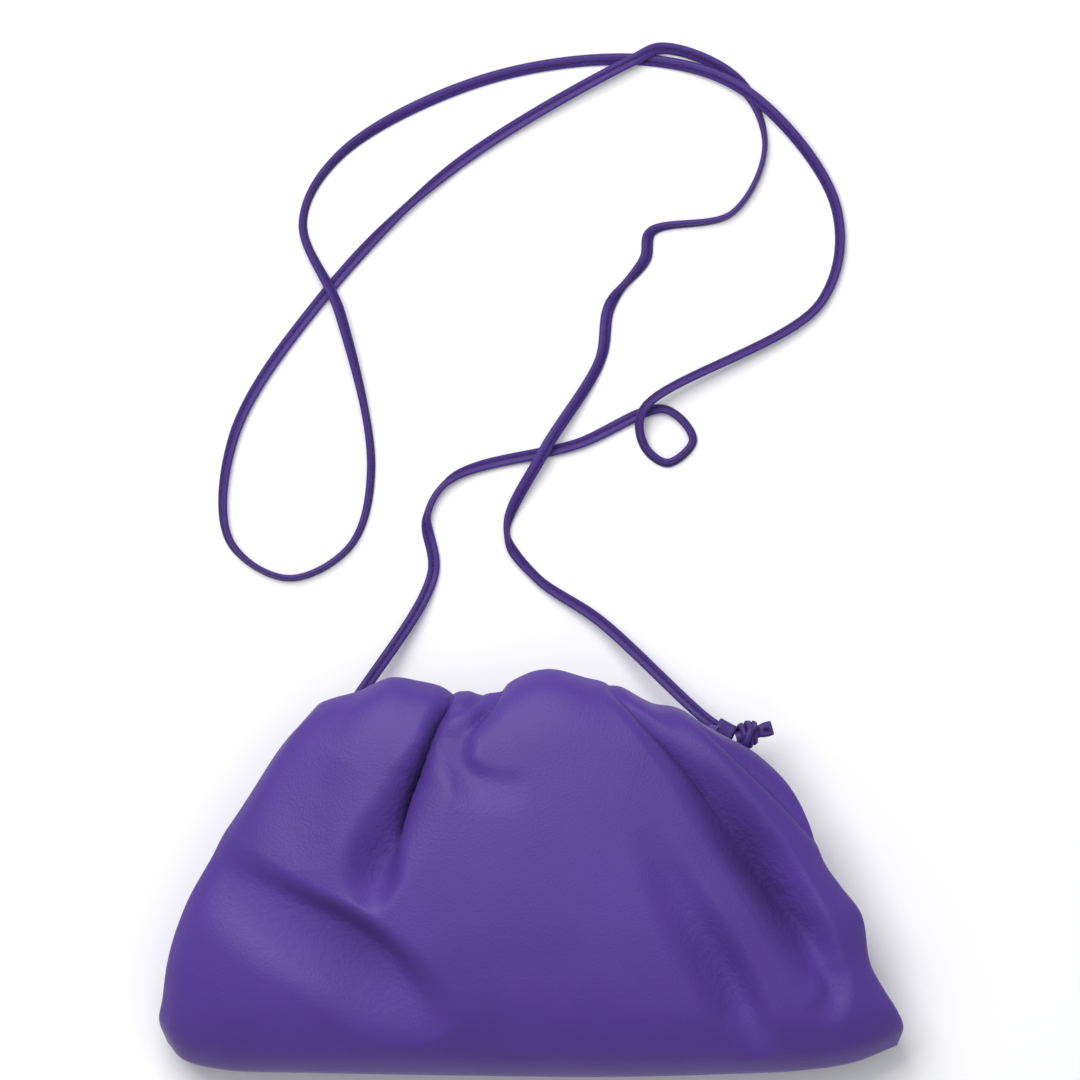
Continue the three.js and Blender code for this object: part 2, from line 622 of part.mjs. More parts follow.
function makeFrontPanel() {
  const surface = panelSurface({
    outlines: panelOutlines(bottomSeam, leftEdge, rightEdge, frontCrest),
    seams: { left: outlineCurve(leftSeam), right: outlineCurve(rightSeam) },
    section: frontSection,
    folds: frontFolds,
    puff: frontPuff,
    side: 1,
    mouth: mouthLine,
    rows: frontRows,
    columns: frontColumns,
  });
  return wallGeometry(surface, 1);
}

function makeBackPanel() {
  const surface = panelSurface({
    outlines: panelOutlines(bottomSeam, leftSeam, rightSeam, backCrest),
    section: backSection,
    folds: backFolds,
    puff: backSag,
    side: -1,
    mouth: mouthLine,
    rows: backRows,
    columns: backColumns,
  });
  return wallGeometry(surface, -1);
}

// The hidden frame: a bar with rounded edges just inside the mouth
function makeFrame() {
  const width = mouthLine.right - mouthLine.left - 2 * frameEndSpace;
  const radius = frameThickness / 2;
  const outline = new THREE.Shape();
  outline.absarc(frameDepth / 2 - radius, 0, radius, -Math.PI / 2, Math.PI / 2, false);
  outline.absarc(radius - frameDepth / 2, 0, radius, Math.PI / 2, 1.5 * Math.PI, false);
  const geometry = new THREE.ExtrudeGeometry(outline, {
    depth: width,
    bevelEnabled: false,
    curveSegments: frameEdgeSegments,
  });
  geometry.translate(0, 0, -width / 2);
  geometry.rotateY(Math.PI / 2);
  geometry.rotateX(Math.PI / 2);
  geometry.translate(
    (mouthLine.left + mouthLine.right) / 2, mouthLine.y - clearance - frameDepth / 2, mouthHeight,
  );
  return geometry;
}

// A spline whose steps follow its control points, so that tight bends get as many steps as long runs
class RouteCurve extends THREE.CatmullRomCurve3 {
  getUtoTmapping(u) {
    return u;
  }
}

function makeStrap() {
  const route = new RouteCurve(strapRoute.map((point) => new THREE.Vector3(...point)));
  const radius = strapDiameter / 2;
  const section = new THREE.Shape();
  for (let k = 0; k < strapSides; k += 1) {
    const angle = (2 * Math.PI * k) / strapSides;
    const place = [radius * Math.cos(angle), radius * Math.sin(angle)];
    if (k === 0) section.moveTo(...place);
    else section.lineTo(...place);
  }
  section.closePath();
  return new THREE.ExtrudeGeometry(section, { steps: strapSteps, extrudePath: route, bevelEnabled: false });
}

// A short leather sleeve round the strap
function makeLoop() {
  const inner = strapDiameter / 2 + sleeveRoom;
  const outer = inner + loopWall;
  const half = loopLength / 2;
  const profile = [
    [inner, -half], [outer, -half], [outer + loopWall * loopSwell, 0], [outer, half], [inner, half],
    [inner, -half],
  ];
  return new THREE.LatheGeometry(profile.map((pair) => new THREE.Vector2(...pair)), knotSides);
}

// A stopper knot of three wraps with the strap's short tail, along its own axis from its foot
function makeKnot() {
  const wraps = 3;
  const radius = knotDiameter / 2;
  const wrapLength = knotLength / wraps;
  const profile = [new THREE.Vector2(0, 0)];
  for (let k = 0; k < wraps; k += 1) {
    const crown = k === 1 ? 1 : knotEndWrap;
    profile.push(new THREE.Vector2(radius * knotWaist, (k + knotWaistShare) * wrapLength));
    profile.push(new THREE.Vector2(radius * crown, (k + 0.5) * wrapLength));
    profile.push(new THREE.Vector2(radius * knotWaist, (k + 1 - knotWaistShare) * wrapLength));
  }
  profile.push(new THREE.Vector2(strapDiameter / 2, knotLength));
  profile.push(new THREE.Vector2(strapDiameter / 2, knotLength + knotTail));
  profile.push(new THREE.Vector2(0, knotLength + knotTail));
  return new THREE.LatheGeometry(profile, knotSides);
}

function namedMesh(name, geometry, material) {
  const mesh = new THREE.Mesh(geometry, material);
  mesh.name = name;
  return mesh;
}

// Turns a part made along +Y so that it points along a direction, and puts its foot at a place
function placeAlong(mesh, place, direction) {
  mesh.quaternion.setFromUnitVectors(new THREE.Vector3(0, 1, 0), direction.clone().normalize());
  mesh.position.copy(place);
  return mesh;
}

// A sleeve and a knot at one end of the strap. end is the strap's last point, before the one next to it.
function strapEnd(side, end, before, knotTurn) {
  const last = new THREE.Vector3(...end);
  const run = new THREE.Vector3(...before).sub(last);
  const along = run.clone().normalize();
  const middle = last.clone().addScaledVector(along, loopLength / 2 + clearance);
  const knotAngle = THREE.MathUtils.degToRad(knotTurn);
  const knotAxis = new THREE.Vector3(Math.cos(knotAngle), Math.sin(knotAngle), 0);
  const slant = Math.sin(along.clone().negate().angleTo(knotAxis));
  const foot = last.clone().addScaledVector(along, -clearance - slant * knotWaist * knotDiameter / 2);
  const group = new THREE.Group();
  group.add(placeAlong(namedMesh(`strap_loop_${side}`, makeLoop(), strapLeather), middle, along));
  group.add(placeAlong(namedMesh(`knot_${side}`, makeKnot(), strapLeather), foot, knotAxis));
  return group;
}

const bag = new THREE.Group();
bag.add(namedMesh('front_panel', makeFrontPanel(), leather));
bag.add(namedMesh('back_panel', makeBackPanel(), leather));
bag.add(namedMesh('mouth_frame', makeFrame(), frameMetal));
bag.add(namedMesh('shoulder_strap', makeStrap(), strapLeather));
bag.add(strapEnd('right', strapRoute[0], strapRoute[1], rightKnotTurn));
bag.add(strapEnd('left', strapRoute[strapRoute.length - 1], strapRoute[strapRoute.length - 2], leftKnotTurn));

export default bag;
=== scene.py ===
"""A soft gathered purple leather pouch bag with a thin shoulder strap, lying on its back on a pale floor."""
import math

import bpy
import numpy as np
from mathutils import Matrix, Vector


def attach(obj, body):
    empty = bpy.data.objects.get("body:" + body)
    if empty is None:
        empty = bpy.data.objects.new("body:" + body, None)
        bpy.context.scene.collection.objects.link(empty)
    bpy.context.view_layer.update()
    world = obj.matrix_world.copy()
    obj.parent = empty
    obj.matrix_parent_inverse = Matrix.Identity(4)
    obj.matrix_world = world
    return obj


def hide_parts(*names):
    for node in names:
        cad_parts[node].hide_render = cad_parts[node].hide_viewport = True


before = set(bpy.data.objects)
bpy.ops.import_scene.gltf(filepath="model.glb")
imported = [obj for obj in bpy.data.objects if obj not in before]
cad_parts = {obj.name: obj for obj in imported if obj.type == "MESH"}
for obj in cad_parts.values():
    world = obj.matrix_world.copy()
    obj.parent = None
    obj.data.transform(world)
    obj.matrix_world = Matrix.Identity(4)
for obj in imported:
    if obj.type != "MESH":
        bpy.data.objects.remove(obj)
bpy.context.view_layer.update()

MM = 0.001

# Camera: straight down, as the photograph was taken. The photograph's width and middle on the floor.
PHOTO_WIDTH = 319.8 * MM
PHOTO_CENTRE = (2.5 * MM, 98.2 * MM)
CAMERA_HEIGHT = 6.0
SENSOR = 36.0

# Studio: half the floor's side, and each area light's name, place, watts and size
FLOOR_HALF = 1.5
LIGHTS = [("key", (-0.32, 0.62, 1.08), 12.6, 0.8), ("fill", (0.1, 0.1, 1.7), 7, 1.4)]
LIGHT_TARGET = (0, 0.03, 0)

# The bag's own sizes, as in the part's source
BAG_WIDTH = 220 * MM
BAG_HEIGHT = 120.5 * MM
LEATHER_WALL = 1.6 * MM
SEAM_GAP = 0.3 * MM
FRONT_PUFF = 27 * MM
BACK_SAG = 36 * MM
SEAM_HEIGHT = 21 * MM
CORNER_HEIGHT = 13 * MM
MOUTH_HEIGHT = 25 * MM
MOUTH_SLIT = 1.4 * MM
MOUTH_DEPTH = 23 * MM
MOUTH_INSET = 3.6 * MM
CROSS_ROUNDNESS = 2.5
# Share of the width in which the front runs in from its outline to the seam, and the height where it starts
LEAN_SHARE = 0.03
LEAN_START = 0.12
# Share of a panel's width and height at its edges in which the folds fade out
FOLD_FADE = 0.05
# Radius of the bottom of a fold, and the curve of the leather that slides under a lip
CREASE_RADIUS = 0.5 * MM
SLIDE_POWER = 2.1
# A lip that leans over less than this is softer, with a longer slope
FIRM_OVERHANG = 0.5
SOFT_LIP_POWER = 1.6
# The factor that makes the lean of a lip reach its full size a third of the way out
LEAN_PEAK = 6.75
# Painted shade in the folds: how far the dark line under a lip shows, how dark it is and how dark a lipped
# fold is beside it
LINE_REACH = 1.4 * MM
LINE_SHADE = 0.9
BESIDE_SHADE = 0.5
# Rows and columns of the inner skin at each bottom corner that go straight in from the seam
CORNER_ROWS = 5
CORNER_COLUMNS = 12
# How much of the way up or down toward the panel's middle is kept where a side rim goes in
RIM_SLOPE = 0.25
# Points to a piece of a curve: in an outline or section, in a fold, in the strap and in the knot's strand
OUTLINE_STEPS = 24
FOLD_STEPS = 8
STRAP_STEPS = 20
STRAND_STEPS = 10

STRAP_WIDTH = 3.5 * MM
STRAP_THICKNESS = 1.6 * MM
STRAP_SIDES = 28
STRAP_POWERS = (0.8, 0.6)
# The groove's depth, its half width, and the shade painted in it, on the scale of a fold's painted shade
GROOVE_DEPTH = 0.42 * MM
GROOVE_WIDTH = 0.42 * MM
GROOVE_SHADE = 0.5
STITCH_SHIFT = -0.25 * MM
STITCH_PITCH = 2.1 * MM
STITCH_LENGTH = 1.5 * MM
STITCH_THREAD = 0.45 * MM
STITCH_SIDES = 6
# Height of a stitch over the groove's bottom from end to end, as shares of the thread
STITCH_ARCH = [-0.5, 0.3, 0.55, 0.3, -0.5]
# Number of line points over which the strap's turns are evened out
TURN_BLUR = 9
# Height of the route where the strap lies flat, and the strap's clearance over the floor
ROUTE_REST = 2 * MM
FLOOR_CLEARANCE = 0.05 * MM

SLEEVE_LENGTH = 5.6 * MM
SLEEVE_OPENING = (2.05 * MM, 1.2 * MM)
SLEEVE_WALL = 0.6 * MM
SLEEVE_SIDES = 40
SLEEVE_POWERS = (0.55, 0.55)
# The sleeve's wall from loop to loop: how far out as a share of the wall, which end (-1 or 1) and how many
# millimetres from it
SLEEVE_PROFILE = [
    (0.0, -1, 0.4), (0.0, -1, 0), (0.5, -1, -0.1), (0.95, -1, 0.2), (1.08, -1, 0.8), (1.0, -1, 1.3),
    (1.0, 1, -1.3), (1.08, 1, -0.8), (0.95, 1, -0.2), (0.5, 1, 0.1), (0.0, 1, 0), (0.0, 1, -0.4),
]
# Gap between the strap's end and the sleeve or the knot
END_GAP = 0.3 * MM

# Which way each knot's axis points on the floor, in degrees
RIGHT_KNOT_TURN = 16
LEFT_KNOT_TURN = 215
# How far a knot's foot moves out from the strap's end if its axis is square to the strap
KNOT_FOOT = 1.5 * MM
# The knot's forms are in millimetres from its foot: along its axis, across it and up. Its bands face away
# from this place on the axis.
KNOT_MIDDLE = 3
# The wraps: place along the axis, radius, tilt, where round it the tilt peaks, width
KNOT_WRAPS = [(1.3, 3.0, 0.8, 0.4, 1.9), (3.1, 3.2, 0.9, 0.9, 1.9), (4.9, 2.6, 0.6, 1.6, 1.8)]
WRAP_THICKNESS = 1.8
WRAP_FLATNESS = 0.92
WRAP_STEPS = 48
BAND_SIDES = 16
BAND_POWERS = (0.6, 0.6)
KNOT_STRAND = [
    (-0.6, -1.2, 2.0), (0.3, -2.4, 2.8), (1.6, -2.2, 4.0), (3.0, -0.2, 4.5), (4.6, 1.4, 3.9), (6.0, 1.6, 2.0),
]
STRAND_SIZE = (1.9, 1.4)
KNOT_CORE = [(-0.6, 0, 0.1), (3, 0, 0.2), (6.2, 0, 0.1)]
CORE_SIZE = (3.6, 3.2)
# The tail: rings along the axis, their sizes as shares of the half width and half height, and its slot
TAIL_PLACES = [5.4, 6.2, 7.0, 7.6, 8.2, 8.8, 9.4, 10.0, 10.4, 10.5]
TAIL_SIZES = [0.75, 0.85, 0.95, 1.0, 1.04, 1.06, 1.06, 1.04, 0.98, 0.85]
TAIL_HALF = (2.1, 1.4)
TAIL_SIDES = 32
TAIL_POWERS = (0.5, 0.5)
SLOT_PLACE = 8.6
SLOT_HALF_LENGTH = 0.9
SLOT_HALF_WIDTH = 0.45
SLOT_DEPTH = 0.7
# Painted shade at the edges of the knot's wraps, where they meet, on the scale of a fold's painted shade
KNOT_EDGE_SHADE = 0.42

# Outlines seen from the front: x is a share of the bag's width from its middle, y a share of its height
BOTTOM_SEAM = [
    (-0.489, 0.084), (-0.468, 0.042), (-0.414, 0.017), (-0.301, 0.010), (-0.150, 0.005),
    (0.104, 0.000), (0.266, 0.007), (0.361, 0.015), (0.431, 0.034), (0.491, 0.076),
]
LEFT_EDGE = [
    (-0.489, 0.084), (-0.500, 0.134), (-0.495, 0.192), (-0.488, 0.283), (-0.474, 0.373),
    (-0.437, 0.523), (-0.383, 0.676), (-0.330, 0.823), (-0.298, 0.885),
]
RIGHT_EDGE = [
    (0.491, 0.076), (0.500, 0.120), (0.490, 0.165), (0.473, 0.214), (0.454, 0.280), (0.442, 0.400),
    (0.415, 0.467), (0.391, 0.531), (0.376, 0.612), (0.344, 0.717), (0.299, 0.796), (0.266, 0.832),
    (0.247, 0.851),
]
FRONT_CREST = [
    (-0.298, 0.885), (-0.285, 0.914), (-0.266, 0.929), (-0.232, 0.946), (-0.188, 0.980), (-0.149, 0.971),
    (-0.112, 0.957), (-0.064, 0.945), (-0.026, 0.973), (0.002, 0.995), (0.030, 1.000), (0.076, 0.978),
    (0.120, 0.962), (0.165, 0.919), (0.201, 0.904), (0.226, 0.875), (0.247, 0.851),
]
LEFT_SEAM = [
    (-0.489, 0.084), (-0.498, 0.132), (-0.494, 0.192), (-0.486, 0.280), (-0.470, 0.373),
    (-0.430, 0.515), (-0.368, 0.650), (-0.302, 0.760), (-0.237, 0.832),
]
RIGHT_SEAM = [
    (0.491, 0.076), (0.498, 0.120), (0.488, 0.165), (0.470, 0.214), (0.450, 0.280), (0.436, 0.395),
    (0.409, 0.460), (0.385, 0.524), (0.366, 0.600), (0.334, 0.700), (0.289, 0.778), (0.238, 0.835),
]
BACK_CREST = [
    (-0.237, 0.832), (-0.222, 0.850), (-0.190, 0.885), (-0.130, 0.925), (-0.078, 0.948), (-0.020, 0.930),
    (0.050, 0.935), (0.105, 0.905), (0.150, 0.875), (0.195, 0.845), (0.238, 0.835),
]

# Sections of the panels: share of the way up to the crest, of the way back to the mouth, and of the puff
FRONT_SECTION = [
    (0, 0, 0), (0.008, 0, 0.24), (0.045, 0, 0.52), (0.13, 0, 0.79), (0.3, 0, 0.96), (0.5, 0, 1),
    (0.7, 0, 0.96), (0.86, 0, 0.86), (0.96, 0, 0.68), (1, 0, 0.44), (1, 0.14, 0.2), (1, 0.5, 0.05), (1, 1, 0),
]
BACK_SECTION = [
    (0, 0, 0), (0.01, 0, 0.2), (0.06, 0, 0.48), (0.16, 0, 0.78), (0.32, 0, 0.95), (0.5, 0, 1),
    (0.68, 0, 0.94), (0.84, 0, 0.78), (0.95, 0, 0.55), (1, 0, 0.3), (1, 0.2, 0.12), (1, 0.55, 0.03),
    (1, 1, 0),
]

# Folds: x, y, depth as a share of the puff, reach to the left and to the right as shares of the height.
# The lip is the side whose edge is a rounded lobe that stands over the fold, and the overhang is how far
# it leans over it as a share of the depth.
FRONT_FOLDS = [
    # The deep fold between the left and the middle lobe
    ("right", 0.35, [
        (-0.086, 1.200, 0.01, 0.050, 0.030), (-0.095, 0.985, 0.03, 0.052, 0.034),
        (-0.102, 0.937, 0.15, 0.056, 0.038), (-0.108, 0.895, 0.36, 0.062, 0.044),
        (-0.115, 0.850, 0.51, 0.070, 0.050), (-0.125, 0.790, 0.57, 0.082, 0.055),
        (-0.136, 0.735, 0.57, 0.096, 0.060), (-0.149, 0.683, 0.53, 0.108, 0.065),
        (-0.163, 0.629, 0.42, 0.116, 0.070), (-0.176, 0.575, 0.24, 0.118, 0.070),
        (-0.187, 0.525, 0.08, 0.110, 0.070), (-0.194, 0.490, 0.00, 0.090, 0.060),
    ]),
    # The soft rounded hollow that it ends in
    ("none", 0.00, [
        (-0.162, 0.700, 0.00, 0.080, 0.060), (-0.174, 0.645, 0.10, 0.095, 0.066),
        (-0.187, 0.592, 0.20, 0.105, 0.070), (-0.197, 0.540, 0.26, 0.110, 0.070),
        (-0.206, 0.494, 0.24, 0.105, 0.068), (-0.216, 0.455, 0.13, 0.095, 0.064),
        (-0.228, 0.418, 0.00, 0.080, 0.060),
    ]),
    # The narrow layer next to it
    ("right", 0.20, [
        (-0.050, 1.200, 0.02, 0.040, 0.030), (-0.056, 0.975, 0.03, 0.040, 0.030),
        (-0.068, 0.932, 0.06, 0.038, 0.030), (-0.084, 0.908, 0.08, 0.034, 0.030),
        (-0.098, 0.880, 0.06, 0.030, 0.028), (-0.108, 0.850, 0.00, 0.025, 0.025),
    ]),
    # The short fold at the left of the middle lobe's hump
    ("right", 0.25, [
        (-0.026, 1.200, 0.02, 0.040, 0.030), (-0.036, 0.975, 0.06, 0.042, 0.034),
        (-0.048, 0.930, 0.14, 0.045, 0.040), (-0.060, 0.897, 0.16, 0.048, 0.048),
        (-0.073, 0.868, 0.12, 0.048, 0.052), (-0.084, 0.845, 0.05, 0.045, 0.052),
        (-0.092, 0.825, 0.00, 0.040, 0.050),
    ]),
    # The soft hook that it runs into under the hump
    ("none", 0.00, [
        (-0.070, 0.890, 0.00, 0.035, 0.040), (-0.086, 0.858, 0.07, 0.040, 0.050),
        (-0.097, 0.826, 0.11, 0.042, 0.056), (-0.100, 0.792, 0.11, 0.050, 0.056),
        (-0.093, 0.762, 0.09, 0.070, 0.050), (-0.077, 0.740, 0.07, 0.090, 0.046),
        (-0.054, 0.727, 0.04, 0.100, 0.045), (-0.028, 0.720, 0.03, 0.100, 0.045),
        (0.000, 0.714, 0.00, 0.090, 0.045),
    ]),
    # The middle lobe's right edge
    ("left", 0.15, [
        (0.098, 1.200, 0.02, 0.028, 0.040), (0.104, 0.963, 0.05, 0.030, 0.060),
        (0.133, 0.905, 0.13, 0.034, 0.075), (0.164, 0.843, 0.20, 0.042, 0.085),
        (0.202, 0.768, 0.25, 0.056, 0.090), (0.231, 0.706, 0.24, 0.070, 0.090),
        (0.257, 0.646, 0.15, 0.080, 0.085), (0.283, 0.587, 0.04, 0.080, 0.080),
        (0.298, 0.552, 0.00, 0.070, 0.070),
    ]),
    # The long soft valley that it runs out into
    ("none", 0.00, [
        (0.202, 0.770, 0.00, 0.060, 0.080), (0.232, 0.705, 0.15, 0.072, 0.085),
        (0.258, 0.645, 0.27, 0.082, 0.086), (0.284, 0.587, 0.35, 0.092, 0.085),
        (0.310, 0.528, 0.39, 0.100, 0.080), (0.335, 0.468, 0.40, 0.108, 0.074),
        (0.357, 0.408, 0.37, 0.112, 0.068), (0.374, 0.352, 0.31, 0.112, 0.064),
        (0.387, 0.297, 0.21, 0.105, 0.060), (0.398, 0.245, 0.10, 0.095, 0.055),
        (0.408, 0.200, 0.00, 0.080, 0.050),
    ]),
    # The step from the second layer to the third at the right end
    ("left", 0.20, [
        (0.140, 1.200, 0.00, 0.018, 0.030), (0.168, 0.945, 0.00, 0.020, 0.034),
        (0.206, 0.892, 0.02, 0.022, 0.038), (0.240, 0.838, 0.05, 0.024, 0.042),
        (0.272, 0.785, 0.09, 0.024, 0.046), (0.300, 0.738, 0.11, 0.024, 0.048),
        (0.326, 0.692, 0.11, 0.024, 0.048), (0.350, 0.645, 0.09, 0.022, 0.042),
        (0.372, 0.597, 0.06, 0.020, 0.036), (0.396, 0.545, 0.00, 0.018, 0.030),
    ]),
    # The broad valley that runs down from the left side, under the middle lobe's lower edge
    ("none", 0.00, [
        (-0.452, 0.550, 0.00, 0.100, 0.085), (-0.420, 0.520, 0.05, 0.140, 0.085),
        (-0.382, 0.481, 0.12, 0.170, 0.080), (-0.340, 0.441, 0.19, 0.190, 0.072),
        (-0.298, 0.407, 0.25, 0.200, 0.066), (-0.258, 0.373, 0.29, 0.205, 0.064),
        (-0.223, 0.330, 0.30, 0.205, 0.068), (-0.194, 0.278, 0.27, 0.200, 0.078),
        (-0.170, 0.220, 0.21, 0.185, 0.088), (-0.148, 0.158, 0.12, 0.150, 0.095),
        (-0.130, 0.095, 0.00, 0.100, 0.085),
    ]),
    # The soft upright valley low on the right
    ("none", 0.00, [
        (0.152, 0.620, 0.00, 0.060, 0.060), (0.173, 0.540, 0.04, 0.080, 0.068),
        (0.197, 0.455, 0.10, 0.095, 0.072), (0.224, 0.372, 0.16, 0.110, 0.074),
        (0.250, 0.298, 0.21, 0.115, 0.072), (0.271, 0.232, 0.23, 0.115, 0.070),
        (0.286, 0.170, 0.20, 0.110, 0.070), (0.298, 0.112, 0.11, 0.090, 0.068),
        (0.308, 0.050, 0.00, 0.070, 0.065),
    ]),
    # The shallow dent in the left lobe
    ("none", 0.00, [
        (-0.255, 0.780, 0.00, 0.090, 0.090), (-0.280, 0.710, 0.03, 0.120, 0.110),
        (-0.298, 0.640, 0.04, 0.130, 0.110), (-0.306, 0.580, 0.03, 0.120, 0.100),
        (-0.306, 0.510, 0.00, 0.090, 0.090),
    ]),
    # The small dent with wrinkles at the right side's lower end
    ("none", 0.00, [
        (0.392, 0.290, 0.00, 0.050, 0.050), (0.402, 0.250, 0.09, 0.055, 0.055),
        (0.404, 0.210, 0.10, 0.055, 0.055), (0.396, 0.170, 0.05, 0.060, 0.060),
        (0.380, 0.130, 0.00, 0.060, 0.060),
    ]),
]
BACK_FOLDS = [
    ("left" if index % 2 else "right", 0.2, [
        (x * 0.95, 1.2, 0.1, 0.05, 0.05), (x, 0.94, 0.14, 0.06, 0.06),
        (x * 1.15, 0.8, 0.1, 0.07, 0.07), (x * 1.3, 0.68, 0, 0.07, 0.07),
    ])
    for index, x in enumerate([-0.2, -0.13, -0.06, 0.01, 0.08, 0.15])
]

# The strap's route in millimetres, as in the part's source, from the right knot to the left one
STRAP_ROUTE = [
    (59.8, 40.6, 22.4), (52.9, 44.3, 22.4), (20.3, 74.2, 6.6), (1, 87.5, 2), (-7.3, 100.2, 2),
    (3.4, 123.9, 5.7), (20.3, 151.5, 2), (23.2, 167.7, 2), (33.6, 181.4, 2), (35.4, 189.4, 2),
    (59.4, 195, 2), (69.1, 215.1, 2), (60.6, 234.7, 2), (39.2, 243.8, 2.6), (29.8, 240.1, 5.2),
    (-24.1, 207.7, 2), (-62, 169.8, 2), (-88.1, 129, 2), (-89.3, 97.9, 2), (-72.1, 86.9, 2),
    (-53.7, 96.4, 2), (-47.5, 118.9, 2), (-56.7, 165.4, 5.6), (-67.7, 192.3, 2), (-56.7, 212.2, 2),
    (-12.3, 235, 2), (36.9, 240, 2), (65, 229.9, 5.2), (90.2, 196.5, 2), (85.7, 168.6, 2),
    (33.1, 136.8, 5.7), (33.6, 125.7, 2), (40.4, 121, 2), (47.8, 127.8, 2), (39.5, 136.9, 2),
    (13.5, 126.6, 2), (-23.5, 116.5, 2), (-30.9, 105.6, 2), (-29.2, 88.1, 2), (-54.6, 46.6, 13),
]
# How the flat strap is turned on its edge: place along the route in points, and the turn in degrees
STRAP_TURNS = [
    (0, 0), (1, 10), (2, 22), (3, 50), (3.6, 35), (4, 85), (4.4, 20), (5, 8), (6, 35), (6.5, 12), (7, 10),
    (7.4, 70), (8, 15), (8.8, 20), (9.2, 60), (10, 80), (11, 85), (11.6, 60), (12, -35), (13, -20), (14, 10),
    (15, 25), (15.3, 65), (15.7, 15), (16.4, 20), (17, 40), (18, 62), (18.5, 76), (20, 70), (21, 58),
    (21.4, 64), (22, 30), (22.6, 55), (23.2, 62), (24, 50), (24.6, 20), (26, 15), (27, 12), (28, 40),
    (29, 50), (30, 55), (31, 55), (33, 60), (34, 60), (34.5, 10), (35, 38), (35.6, 20), (36.2, 75),
    (37, 70), (37.4, 8), (38, 12), (39, 0),
]


def spline(points, per_piece):
    """A centripetal spline through points, the same curve that the solid strap follows."""
    p = np.array(points, float)
    p = np.vstack([2 * p[0] - p[1], p, 2 * p[-1] - p[-2]])
    pieces = []
    t = np.linspace(0, 1, per_piece, endpoint=False)[:, None]
    for i in range(1, len(p) - 2):
        gaps = [max(np.linalg.norm(p[k + 1] - p[k]) ** 0.5, 1e-9) for k in (i - 1, i, i + 1)]
        first, mid, last = gaps
        start = (p[i] - p[i - 1]) / first - (p[i + 1] - p[i - 1]) / (first + mid) + (p[i + 1] - p[i]) / mid
        end = (p[i + 1] - p[i]) / mid - (p[i + 2] - p[i]) / (mid + last) + (p[i + 2] - p[i + 1]) / last
        start, end = start * mid, end * mid
        pieces.append(
            (2 * t**3 - 3 * t**2 + 1) * p[i] + (t**3 - 2 * t**2 + t) * start
            + (3 * t**2 - 2 * t**3) * p[i + 1] + (t**3 - t**2) * end
        )
    return np.vstack(pieces + [p[-2][None]])


def length_along(line):
    """The length from a line's start to each of its points."""
    steps = np.linalg.norm(np.diff(line, axis=0), axis=1)
    return np.concatenate([[0], np.cumsum(steps)])


def values_at(place, along, rows):
    """Rows of numbers given along a line, read off at other places on it."""
    return np.stack([np.interp(place, along, rows[:, k]) for k in range(rows.shape[1])], axis=-1)


def by_length(points):
    """A function from shares of a curve's length to its points."""
    line = spline(points, OUTLINE_STEPS)
    along = length_along(line)
    along /= along[-1]
    return lambda share: values_at(share, along, line)


def smooth_step(value):
    """A soft rise from 0 to 1."""
    t = np.clip(value, 0, 1)
    return t * t * (3 - 2 * t)


def outline(rows):
    """An outline in metres, with the bag's middle at zero."""
    return by_length([(x * BAG_WIDTH, (y - 0.5) * BAG_HEIGHT) for x, y in rows])


def fold_shape(fold, x, y):
    """How deep a fold is at places of a panel, how its lip leans and the shade painted in it."""
    lip, overhang, rows = fold
    table = np.array(rows, float)
    place = spline([(r[0] * BAG_WIDTH, (r[1] - 0.5) * BAG_HEIGHT) for r in table], FOLD_STEPS)
    sizes = spline(table[:, 2:] * [1, BAG_HEIGHT, BAG_HEIGHT], FOLD_STEPS)
    best = np.full(x.shape, np.inf)
    depth, left, right, toward_x, toward_y = (np.zeros(x.shape) for _ in range(5))
    on_right = np.zeros(x.shape, bool)
    for start, end, size_a, size_b in zip(place[:-1], place[1:], sizes[:-1], sizes[1:]):
        run = end - start
        share = np.clip(((x - start[0]) * run[0] + (y - start[1]) * run[1]) / (run @ run), 0, 1)
        off_x = x - start[0] - share * run[0]
        off_y = y - start[1] - share * run[1]
        distance = np.hypot(off_x, off_y)
        nearer = distance < best
        best = np.where(nearer, distance, best)
        size = size_a + share[..., None] * (size_b - size_a)
        depth = np.where(nearer, size[..., 0], depth)
        left = np.where(nearer, size[..., 1], left)
        right = np.where(nearer, size[..., 2], right)
        toward_x = np.where(nearer, -off_x, toward_x)
        toward_y = np.where(nearer, -off_y, toward_y)
        on_right = np.where(nearer, run[0] * off_y - run[1] * off_x > 0, on_right)
    depth = np.maximum(depth, 0)
    near = np.clip(np.hypot(best, CREASE_RADIUS) / np.where(on_right, right, left), 0, 1)
    soft = 0.5 + 0.5 * np.cos(np.pi * near)
    sliding = (1 - near) ** SLIDE_POWER
    round_lip = 1 - np.sqrt(np.clip(1 - (1 - near) ** 2, 0, 1))
    on_lip = on_right if lip == "right" else ~on_right
    firmness = min(overhang / FIRM_OVERHANG, 1)
    round_lip = firmness * round_lip + (1 - firmness) * (1 - near) ** SOFT_LIP_POWER
    rise = soft if lip == "none" else np.where(on_lip, round_lip, sliding)
    lean = np.where(on_lip, LEAN_PEAK * near * (1 - near) ** 2, 0) * depth * overhang * FRONT_PUFF
    lean = lean / np.maximum(best, 1e-9)
    # Painted shade: a dark line where the lip stands over the fold, and a lighter shade over the whole fold.
    # The lip hides part of the line, and on the lip itself it ends at the edge, a third of the way out
    line = depth * np.exp(-((best / (LINE_REACH + depth * overhang * FRONT_PUFF)) ** 2))
    line *= np.where(on_lip, np.clip(1 - 3 * near, 0, 1), 1)
    dark = depth * rise if lip == "none" else BESIDE_SHADE * depth * rise + LINE_SHADE * line
    return depth * rise, np.stack([toward_x * lean, toward_y * lean], axis=-1), dark


